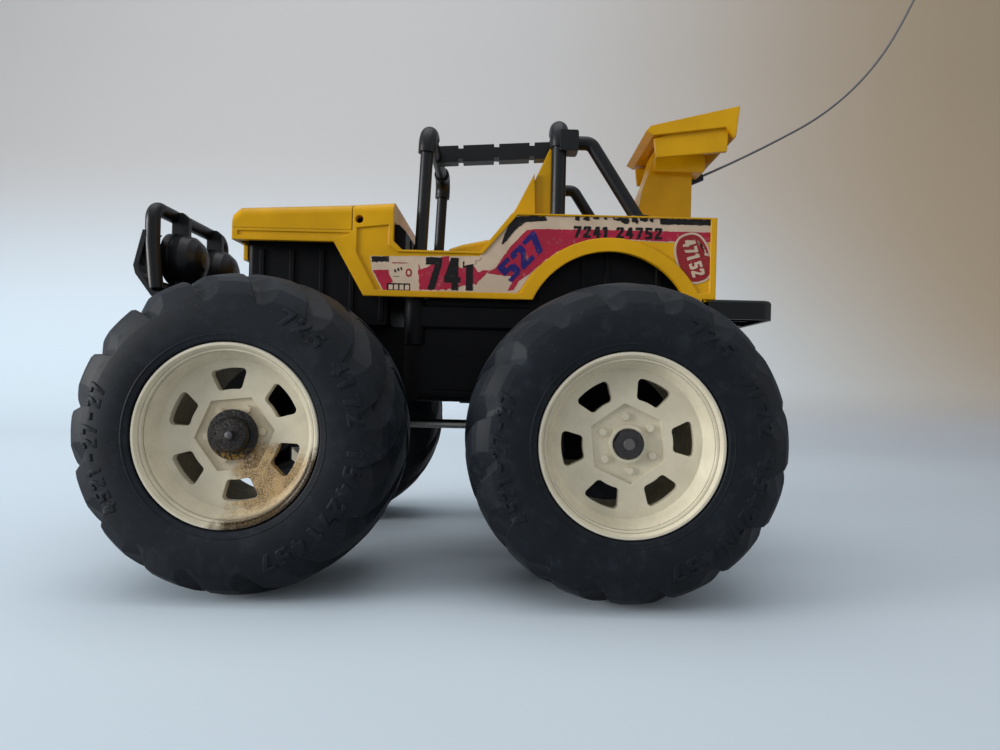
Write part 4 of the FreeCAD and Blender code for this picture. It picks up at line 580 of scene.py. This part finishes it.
NUMERALS = {
    1: [(1.6, 14.0), (4.4, 14.0), (4.4, 0.0), (1.4, 0.0), (1.4, 10.2), (0.0, 9.6), (0.0, 12.2)],
    2: [(0.0, 12.2), (1.0, 14.0), (5.8, 14.0), (6.8, 12.6), (6.6, 9.0), (3.4, 3.2), (6.8, 3.2),
        (6.8, 0.0), (0.0, 0.0), (0.0, 2.6), (3.8, 9.0), (3.8, 11.0), (2.6, 11.0), (2.4, 9.6),
        (0.0, 9.8)],
    4: [(2.8, 14.0), (6.0, 14.0), (6.0, 5.8), (7.0, 5.8), (7.0, 3.2), (6.0, 3.2), (6.0, 0.0),
        (3.2, 0.0), (3.2, 3.2), (0.0, 3.2), (0.0, 5.6)],
    5: [(0.2, 14.0), (6.6, 14.0), (6.6, 11.0), (3.0, 11.0), (3.0, 9.0), (5.2, 9.0), (6.8, 7.4),
        (6.8, 1.8), (5.2, 0.0), (0.2, 0.0), (0.0, 3.0), (3.4, 3.0), (3.8, 3.6), (3.8, 5.4),
        (3.4, 6.0), (0.2, 6.0)],
    7: [(0.0, 14.0), (6.8, 14.0), (6.8, 11.4), (3.8, 0.0), (0.8, 0.0), (3.8, 10.8), (0.0, 10.8)],
    "-": [(0.6, 8.4), (5.8, 8.4), (5.8, 5.8), (0.6, 5.8)],
}


def numeral(name, digit, corner, size, turn, layer, material, side):
    """A plain block numeral on the body's side, right way round when seen from that side."""
    points = []
    for across, up in NUMERALS[digit]:
        across, up = across * size[0] / NUMERAL_GRID[0], up * size[1] / NUMERAL_GRID[1]
        points.append((corner[0] - side * (across * math.cos(turn) - up * math.sin(turn)),
                       corner[1] + across * math.sin(turn) + up * math.cos(turn)))
    decal(name, points, layer, material, 0.3, 5.0 + digit, side)


def strip(name, start, end, height, layer, material, side, torn=0.2, lean=0.0):
    """A bar with upright ends, its lower edge running from start to end."""
    points = [start, end, (end[0] + lean, end[1] + height), (start[0] + lean, start[1] + height)]
    decal(name, points, layer, material, torn, start[0], side)


def oval(centre, across, up, turn, steps=40):
    """Outline of a leaning, slightly squared oval, in millimetres."""
    points = []
    for step in range(steps):
        angle = 2 * math.pi * step / steps
        x = across * math.copysign(abs(math.cos(angle)) ** 0.8, math.cos(angle))
        z = up * math.copysign(abs(math.sin(angle)) ** 0.8, math.sin(angle))
        points.append((centre[0] + x * math.cos(turn) - z * math.sin(turn),
                       centre[1] + x * math.sin(turn) + z * math.cos(turn)))
    return points


class CAR_OT_stickers(CarOperator, bpy.types.Operator):
    """Lay the torn side stickers on both sides of the body"""

    bl_idname = "car.stickers"
    bl_label = "Side stickers"

    def dress(self, scene):
        colours = scene.car_colours
        paper = sticker_print("sticker_paper", colours.paper, 0.30)
        magenta = sticker_print("sticker_magenta", colours.magenta, 0.22)
        ink = sticker_print("sticker_ink", colours.ink, 0.10)
        blue = sticker_print("sticker_blue", colours.blue, 0.16)
        red = sticker_print("sticker_red", colours.red, 0.16)
        chance = random.Random(7)
        for side in (1, -1):
            decal("side_paper", SIDE_PAPER, 0, paper, 0.25, 1.0, side)
            decal("magenta_band", MAGENTA_BAND, 1, magenta, 0.5, 2.0, side)
            decal("black_corner", BLACK_CORNER, 2, ink, 0.8, 3.0, side)
            decal("front_black", FRONT_BLACK, 1, ink, 0.8, 4.0, side)
            decal("front_magenta", FRONT_MAGENTA, 1, magenta, 0.3, 5.0, side)
            decal("door_magenta", DOOR_MAGENTA, 1, magenta, 1.2, 6.0, side)
            self.door(ink, red, paper, side)
            self.slope(blue, side)
            self.deck(ink, chance, side)
            self.badge(paper, red, side)

    def door(self, ink, red, paper, side):
        """The race number, and the small ruled label in front of it."""
        start, pitch = -64.8 if side > 0 else -88.4, 8.3
        for place, digit in enumerate((7, 4, 1)):
            numeral("door_number_%d" % place, digit, (start - side * pitch * place, 125.4),
                    (7.4, 14.6), 0.0, 2, ink, side)
        decal("number_tear", [(-81.6, 140.6), (-89.4, 140.4), (-86.8, 137.6), (-82.4, 136.6)], 3,
              paper, 1.4, 7.0, side)
        strip("label_line_0", (-49.6, 136.9), (-56.7, 137.0), 0.35, 1, red, side)
        strip("label_line_1", (-50.2, 130.9), (-53.0, 130.9), 0.25, 1, ink, side)
        for number in range(3):
            x, z = -50.8 - 1.4 * number, 132.9 + 0.5 * number
            strip("label_tick_%d" % number, (x, z), (x - 0.8, z), 1.3, 1, ink, side, 0.5, 0.4)
        ring = (-57.2, 132.8)
        decal("label_ring", oval(ring, 1.4, 1.8, 0.0), 1, red, 0.1, 8.0, side)
        decal("label_dot", oval(ring, 0.7, 1.0, 0.0), 2, paper, 0.1, 9.0, side)
        strip("label_box", (-47.5, 124.6), (-57.9, 124.6), 3.4, 1, ink, side)
        for number in range(4):
            x = -48.3 - 2.45 * number
            strip("label_block_%d" % number, (x, 125.1), (x - 1.8, 125.1), 2.2, 2, paper, side)

    def slope(self, blue, side):
        """Three wide slanted numerals that climb the body behind the door."""
        climb, pitch = math.radians(47) * side, 8.2
        for place, digit in enumerate((5, 2, 7)):
            run = pitch * (place if side > 0 else 2 - place)
            corner = (-103.2 - 0.68 * run, 129.3 + 0.73 * run)
            if side < 0:        # read from the other side, a numeral starts at its far foot
                corner = (corner[0] - 5.2, corner[1] + 5.5)
            numeral("slope_number_%d" % place, digit, corner, (7.6, 9.4), climb, 2, blue, side)

    def deck(self, ink, chance, side):
        """Black remains along the top edge, and a row of small numerals under them."""
        for number in range(9):
            x = -131.6 - 4.2 * number - chance.uniform(-0.7, 0.7)
            width = chance.uniform(1.4, 4.0)
            drop = chance.uniform(1.2, 2.6)
            decal("top_scrap_%d" % number,
                  [(x, TOP_EDGE), (x - width, TOP_EDGE), (x - width, TOP_EDGE - drop),
                   (x, TOP_EDGE - drop * 0.7)], 2, ink, 1.4, 9.0 + number, side)
        strip("top_black", (-169.6, 157.3), (-192.6, 157.3), 2.5, 2, ink, side, 0.5)
        start, pitch = -130.8 if side > 0 else -171.8, 4.3
        for place, digit in enumerate((7, 2, 4, 1, 2, 4, 7, 5, 2)):
            gap = 1.9 if place > 3 else 0.0
            numeral("deck_number_%d" % place, digit, (start - side * (pitch * place + gap), 150.4),
                    (3.5, 5.2), 0.0, 2, ink, side)

    def badge(self, paper, red, side):
        """The leaning oval behind the wheel arch, with numerals that run along it."""
        lean, centre, pitch = math.radians(-18), Vector((-184.9, 142.4)), 3.5
        along = Vector((-math.sin(lean), math.cos(lean)))
        over = Vector((-along.y, along.x))
        decal("oval_rim", oval(centre, 8.0, 11.6, lean), 0, paper, 0.0, 40.0, side, 3)
        decal("oval_red", oval(centre, 7.1, 10.7, lean), 3, red, 0.15, 41.0, side)
        decal("oval_tear", OVAL_TEAR, 4, paper, 0.9, 42.0, side)
        for place, digit in enumerate((4, 7, 1, 5, 2)):
            corner = centre + along * side * (8.6 - pitch * place) - over * 2.9
            numeral("badge_number_%d" % place, digit, corner, (3.0, 5.8),
                    -side * (math.pi / 2 + lean), 5, paper, side)


# ---- bodywork ------------------------------------------------------------------------------
class CAR_OT_bodywork(CarOperator, bpy.types.Operator):
    """Finish the yellow body, hood, seats and wing"""

    bl_idname = "car.bodywork"
    bl_label = "Bodywork"

    def dress(self, scene):
        colours = scene.car_colours
        yellow = moulded_plastic("body_yellow_plastic", colours.body, rough=0.24, grain=0.25,
                                 dust=0.10, dust_colour=shade(colours.body, 0.75), scuffs=0.5,
                                 coat=0.05, specular=0.20, edge=0.0008)
        paint(yellow, "body_shell", "hood", "wing", "wing_tower", "seats")


class CAR_OT_chassis(CarOperator, bpy.types.Operator):
    """Finish the black chassis, its boxes, the cockpit and what is in the tub"""

    bl_idname = "car.chassis"
    bl_label = "Chassis"

    def dress(self, scene):
        colours = scene.car_colours
        black = moulded_plastic("chassis_black_plastic", colours.chassis, rough=0.44, grain=0.5,
                                dust=0.10, dust_colour=(0.10, 0.10, 0.10), scuffs=0.5,
                                specular=0.14)
        inner = moulded_plastic("drive_black_plastic", shade(colours.chassis, 1.2), rough=0.5,
                                grain=0.6, dust=0.15, dust_colour=(0.12, 0.11, 0.10), scuffs=0.3,
                                specular=0.2)
        paint(black, "chassis_tub", "engine_bay", "bed_box", "cockpit_tray", "dashboard",
              "battery_door", "tub_fittings", "power_switch")
        paint(inner, "rear_gear_case", "front_gear_case", "knuckle_left", "knuckle_right",
              "tie_rod", "servo_arm", "steering_servo")


class CAR_OT_cage(CarOperator, bpy.types.Operator):
    """Finish the roll cage, the bull bar and the rear bumper"""

    bl_idname = "car.cage"
    bl_label = "Cage and bumpers"

    def dress(self, scene):
        colours = scene.car_colours
        bars = moulded_plastic("bar_black_plastic", colours.bars, rough=0.36, grain=0.35,
                               dust=0.12, dust_colour=(0.11, 0.115, 0.125), scuffs=0.7)
        paint(bars, "front_hoop", "rear_hoop", "spine_bar", "rear_braces", "bull_bar",
              "rear_bumper", "antenna_socket", "lamp_housings")


# ---- wheels ----------------------------------------------------------------------------------
def wheel_frame(axle_x, side):
    """The wheel's axis pointing outwards, with the origin on the outer lip's plane."""
    return frame_of(Vector((axle_x, side * WHEEL_FACE, AXLE_Z)), (0, side, 0))


class CAR_OT_wheels(CarOperator, bpy.types.Operator):
    """Finish the wheels, and scorch the left front one"""

    bl_idname = "car.wheels"
    bl_label = "Wheels"

    def dress(self, scene):
        colours = scene.car_colours
        for name, body, axle_x, side in WHEELS:
            made = wheel_plastic("wheel_cream_" + name, colours.wheel, (axle_x, 0, AXLE_Z))
            if name == "front_left":
                scorched(*made, colours.scorch, colours.ochre)
            paint(made[0].material, "rim_" + name)
        cap = moulded_plastic("hub_cap_plastic", colours.bars, rough=0.30, grain=0.6, dust=0.2,
                              dust_colour=(0.12, 0.09, 0.05), scuffs=1.0)
        burnt = burnt_cap("hub_cap_burnt", colours.bars, shade(colours.ochre, 0.6), AXLE_Z)
        paint(cap, "hub_cap_right")
        paint(burnt, "hub_cap_left")
        pin = bare_metal("cap_pin_steel", (0.14, 0.145, 0.15), 0.6, EVEN, 0.5)
        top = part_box("hub_cap_left")[1][1] - WHEEL_FACE
        profile = [(0.0001, top - 0.0008), (0.0001, top + 0.00015), (0.0011, top + 0.0001),
                   (0.0014, top - 0.0001), (0.0014, top - 0.0008)]
        for name, body, axle_x, side in WHEELS[:2]:
            turned("cap_pin_" + name, profile, wheel_frame(axle_x, side), 32, pin, body)


RING_RADIUS = 0.0372             # middle of the raised ring beside the wheel's lip
RING_LEVEL = 0.00092             # the wall there, outwards from the lip's plane
RING_SINK, RING_RISE = 0.0005, 0.00012      # how far the ring reaches into and off the wall
INNER_RADIUS = 45.4 * MM         # where the numerals on the wall stand
WALL_NUMERAL_HEIGHT = 6.3 * MM
WALL_SINK = 0.0004               # how far the numerals reach into the wall
OUTSIDE = 0.2                    # a y that lies clear of every tyre
WALL_NUMERALS = (                # text, angle of its start, pitch and width of a numeral
    ("725 4172 154271457", math.radians(66), 6.6 * MM, 5.0 * MM),
    ("4521-27-27", math.radians(216), 5.0 * MM, 3.7 * MM),
)


def side_wall(tyre):
    """A search tree over a tyre's own faces."""
    place = tyre.matrix_world
    return BVHTree.FromPolygons([place @ vertex.co for vertex in tyre.data.vertices],
                                [polygon.vertices[:] for polygon in tyre.data.polygons])


def moulded_numerals(data, text, start, pitch, width, wall, axle_x, side):
    """Adds raised numerals to a side wall; they read clockwise from the angle start."""
    middle_radius = INNER_RADIUS + WALL_NUMERAL_HEIGHT / 2
    relief = bpy.context.scene.car_sizes.relief
    widest = abs(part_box("tyre_rear_left")[1][1])
    for place, sign in enumerate(text):
        if sign == " ":
            continue
        corners = NUMERALS[sign if sign == "-" else int(sign)]
        outline = []
        for (across, up), (next_across, next_up) in zip(corners, corners[1:] + corners[:1]):
            steps = max(1, int(max(abs(next_across - across), abs(next_up - up)) / 2))
            outline += [(across + (next_across - across) * step / steps,
                         up + (next_up - up) * step / steps) for step in range(steps)]
        bottom, top = [], []
        for across, up in outline:
            angle = start - (pitch * place + width * across / NUMERAL_GRID[0]) / middle_radius
            radius = INNER_RADIUS + WALL_NUMERAL_HEIGHT * up / NUMERAL_GRID[1]
            x, z = axle_x - side * radius * math.cos(angle), AXLE_Z + radius * math.sin(angle)
            hit = wall.ray_cast(Vector((x, side * OUTSIDE, z)), Vector((0, -side, 0)))[0]
            level = abs(hit.y)
            bottom.append(data.verts.new((x, side * (level - WALL_SINK), z)))
            top.append(data.verts.new((x, side * min(level + relief, widest), z)))
        slab(data, bottom, top)


class CAR_OT_tyres(CarOperator, bpy.types.Operator):
    """Finish the tyres and add the raised ring and numerals on each side wall"""

    bl_idname = "car.tyres"
    bl_label = "Tyres"

    def dress(self, scene):
        colours = scene.car_colours
        rubber = tyre_rubber("tyre_rubber_worn", colours.rubber, colours.rubber_dust_and_reflection)
        half = scene.car_sizes.side_ring / 2
        low, high = RING_LEVEL - RING_SINK, RING_LEVEL + RING_RISE
        ring = [(RING_RADIUS - half, low), (RING_RADIUS - half * 0.5, high),
                (RING_RADIUS + half * 0.5, high), (RING_RADIUS + half, low)]
        for name, body, axle_x, side in WHEELS:
            paint(rubber, "tyre_" + name)
            turned("side_wall_rings_" + name, ring, wheel_frame(axle_x, side), 160, rubber, body)
            data = bmesh.new()
            wall = side_wall(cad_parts["tyre_" + name])
            for text, start, pitch, width in WALL_NUMERALS:
                moulded_numerals(data, text, start, pitch, width, wall, axle_x, side)
            to_object("side_wall_numerals_" + name, data, rubber, body, smooth=False)


# ---- drive, electrics and small parts --------------------------------------------------------
class CAR_OT_drive(CarOperator, bpy.types.Operator):
    """Finish shafts, gears, the motor and the electrics"""

    bl_idname = "car.drive"
    bl_label = "Drive and electrics"

    def dress(self, scene):
        steel = bare_metal("shaft_steel", (0.50, 0.49, 0.47), 0.32)
        worn = bare_metal("axle_steel", (0.20, 0.195, 0.185), 0.45, ALONG_Y, 0.6)
        rusty = bare_metal("nut_steel", (0.085, 0.083, 0.085), 0.46, EVEN, 0.7)
        brass = bare_metal("gear_brass", (0.66, 0.47, 0.18), 0.3)
        copper = bare_metal("winding_copper", (0.62, 0.26, 0.10), 0.35, ALONG_Z)
        bronze = bare_metal("bush_bronze", (0.45, 0.29, 0.12), 0.4)
        nylon = moulded_plastic("gear_nylon", (0.66, 0.64, 0.57), 0.42, 0.3, 0.1)
        green = moulded_plastic("board_green", (0.012, 0.11, 0.035), 0.3, 0.3, 0.2)
        chip = moulded_plastic("chip_black", (0.012, 0.012, 0.013), 0.45, 0.6, 0.1)
        wrap = moulded_plastic("cell_wrap", (0.02, 0.06, 0.16), 0.25, 0.1, 0.1)
        paint(worn, "rear_axle_shaft")
        self.threads(worn, scene.car_sizes.thread_pitch)
        paint(steel, "propeller_shaft", "front_axle_shaft", "stub_left",
              "stub_right", "drive_motor", "battery_contacts")
        paint(rusty, "rear_hub_nuts", "body_screws")
        paint(brass, "motor_pinion")
        paint(copper, "motor_rotor")
        paint(bronze, "axle_bushes")
        paint(nylon, "idler_gear", "axle_gear", "rear_crown_gear", "front_crown_gear",
              "propeller_bevels")
        paint(green, "circuit_board")
        paint(chip, "board_parts")
        paint(wrap, "battery_cells")

    def threads(self, material, pitch):
        """The screw crests on the axle between each rear nut and the axle's end."""
        low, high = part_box("rear_axle_shaft")
        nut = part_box("rear_hub_nuts")[1][1]
        radius = (high[2] - low[2]) / 2
        root, crest = radius - 0.0003, radius + 0.00012
        for side in (1, -1):
            place = frame_of(Vector((REAR_AXLE.x, side * nut, AXLE_Z)), (0, side, 0))
            data = bmesh.new()
            for number in range(max(int((high[1] - nut) / pitch), 0)):
                start = number * pitch
                lathe(data, [(root, start), (crest, start + pitch * 0.35),
                             (crest, start + pitch * 0.5), (root, start + pitch * 0.85)],
                      place, 48)
            if data.verts:
                to_object("axle_thread_" + side_name(side), data, material, "rear_axle")


REFLECTOR = [(0.0096, -0.0004), (0.0085, -0.0028), (0.0062, -0.0050), (0.0034, -0.0064),
             (0.0030, -0.0058), (0.0058, -0.0044), (0.0080, -0.0024), (0.0092, -0.0004)]


class CAR_OT_lamps(CarOperator, bpy.types.Operator):
    """Finish the lamps and put a reflector and a bulb into each"""

    bl_idname = "car.lamps"
    bl_label = "Lamps"

    def dress(self, scene):
        paint(clear_plastic("lens_clear"), "lamp_lenses")
        mirror = bare_metal("reflector_chrome", (0.80, 0.80, 0.79), 0.12, EVEN, 0.1)
        glass = clear_plastic("bulb_glass")
        radius = scene.car_sizes.bulb
        bulb = [(0.0002, -0.0012), (radius * 0.7, -0.0016), (radius, -0.0030),
                (radius * 0.8, -0.0044), (radius * 0.6, -0.0062), (0.0002, -0.0062)]
        low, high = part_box("lamp_lenses")
        for side in (1, -1):
            name = side_name(side)
            centre = Vector((low[0], side * LAMP_Y, (low[2] + high[2]) / 2))
            place = frame_of(centre, (1, 0, 0))
            turned("reflector_" + name, REFLECTOR, place, 72, mirror, "chassis")
            turned("bulb_" + name, bulb, place, 32, glass, "chassis")


class CAR_OT_aerial(CarOperator, bpy.types.Operator):
    """Finish the wire aerial"""

    bl_idname = "car.aerial"
    bl_label = "Aerial"

    def dress(self, scene):
        paint(bare_metal("whip_wire", (0.17, 0.17, 0.175), 0.4, EVEN, 0.4), "antenna_whip")


# ---- stage -----------------------------------------------------------------------------------
FLOOR_FRONT, FLOOR_HALF = 8.0, 10.0         # y of the floor's front edge, half its width
WALL_FOOT, WALL_BEND, WALL_TOP = -0.6, 1.1, 3.2
BEND_STEPS = 24
CAR_MIDDLE = Vector((0, 0, 0.09))
WALL_MIDDLE = Vector((0.2, -1.6, 0.5))
SKY = (0.93, 0.96, 1.0, 1.0)
EYE = car(-101.16, 346.0, 84.3)             # the camera's place
LENS_SHIFT = (-0.004, 0.008)


class CAR_OT_stage(CarOperator, bpy.types.Operator):
    """Set up the floor, the backdrop, the lamps and the camera"""

    bl_idname = "car.stage"
    bl_label = "Stage"

    def dress(self, scene):
        settings = scene.car_stage
        colours = scene.car_colours
        paper = backdrop_paper("backdrop_paper", colours.backdrop,
                               (colours.floor_painted_lit, colours.floor_painted_shade),
                               (colours.wall_painted_lit, colours.wall_painted_warm_shade))
        data = bmesh.new()
        profile = [(FLOOR_FRONT, 0.0)]
        for step in range(BEND_STEPS + 1):
            angle = math.pi / 2 * step / BEND_STEPS
            profile.append((WALL_FOOT - WALL_BEND * math.sin(angle),
                            WALL_BEND - WALL_BEND * math.cos(angle)))
        profile.append((WALL_FOOT - WALL_BEND, WALL_TOP))
        rows = []
        for y, z in profile:
            rows.append([data.verts.new((x, y, z)) for x in (-FLOOR_HALF, FLOOR_HALF)])
        for near, far in zip(rows, rows[1:]):
            data.faces.new((near[0], near[1], far[1], far[0]))
        floor = to_object("backdrop", data, paper)

        self.lamp("key", settings.key, 0.9, (2.2, 0.83, 0.45), CAR_MIDDLE)
        self.lamp("top", settings.key * 0.06, 1.2, (0.1, 0.6, 1.25), CAR_MIDDLE)
        self.lamp("rear", settings.key * 0.022, 1.0, (-1.25, 0.55, 0.4), CAR_MIDDLE,
                  (1.0, 0.86, 0.66))
        self.lamp("wall", settings.wall, 1.8, (0.3, -0.35, 1.9), WALL_MIDDLE)

        world = bpy.data.worlds.new("even_sky")
        scene.world = world
        world.use_nodes = True
        background = world.node_tree.nodes["Background"]
        background.inputs["Color"].default_value = SKY
        background.inputs["Strength"].default_value = settings.sky

        lens = bpy.data.cameras.new("camera")
        lens.lens = settings.lens
        lens.sensor_width = 36.0
        lens.clip_start = 0.01
        lens.shift_x, lens.shift_y = LENS_SHIFT
        camera = bpy.data.objects.new("camera", lens)
        view = Matrix.Rotation(math.pi, 4, "Z") @ Matrix.Rotation(math.pi / 2, 4, "X")
        view = view @ Matrix.Rotation(settings.roll, 4, "Z")
        camera.matrix_world = Matrix.Translation(EYE) @ view
        scene.collection.objects.link(camera)
        scene.camera = camera
        scene.view_settings.view_transform = "Standard"

    def lamp(self, name, power, size, place, target, colour=(1.0, 1.0, 1.0)):
        """A square area lamp that is aimed at target."""
        light = bpy.data.lights.new(name, "AREA")
        light.energy = power
        light.size = size
        light.color = colour
        lamp = bpy.data.objects.new(name, light)
        lamp.location = place
        lamp.rotation_euler = (target - Vector(place)).to_track_quat("-Z", "Y").to_euler()
        bpy.context.scene.collection.objects.link(lamp)


class CAR_PT_parts(bpy.types.Panel):
    """Everything that dresses the car"""

    bl_label = "Remote control car"
    bl_idname = "CAR_PT_parts"
    bl_space_type = "VIEW_3D"
    bl_region_type = "UI"
    bl_category = "Car"

    def draw(self, context):
        for group in (context.scene.car_colours, context.scene.car_sizes,
                      context.scene.car_stage):
            box = self.layout.box()
            for name in group.bl_rna.properties.keys():
                if name not in ("rna_type", "name"):
                    box.prop(group, name)
        for operator in OPERATORS:
            self.layout.operator(operator.bl_idname)


OPERATORS = (CAR_OT_bodywork, CAR_OT_chassis, CAR_OT_cage, CAR_OT_wheels, CAR_OT_tyres,
             CAR_OT_drive, CAR_OT_lamps, CAR_OT_aerial, CAR_OT_stickers, CAR_OT_stage)
GROUPS = (("car_colours", CarColours), ("car_sizes", CarSizes), ("car_stage", StageSettings))


def register():
    for name, group in GROUPS:
        bpy.utils.register_class(group)
        setattr(bpy.types.Scene, name, bpy.props.PointerProperty(type=group))
    for operator in OPERATORS:
        bpy.utils.register_class(operator)
    bpy.utils.register_class(CAR_PT_parts)


def unregister():
    bpy.utils.unregister_class(CAR_PT_parts)
    for operator in reversed(OPERATORS):
        bpy.utils.unregister_class(operator)
    for name, group in reversed(GROUPS):
        delattr(bpy.types.Scene, name)
        bpy.utils.unregister_class(group)


def main():
    register()
    for operator in OPERATORS:
        group, name = operator.bl_idname.split(".")
        getattr(getattr(bpy.ops, group), name)()


if __name__ == "__main__":
    main()
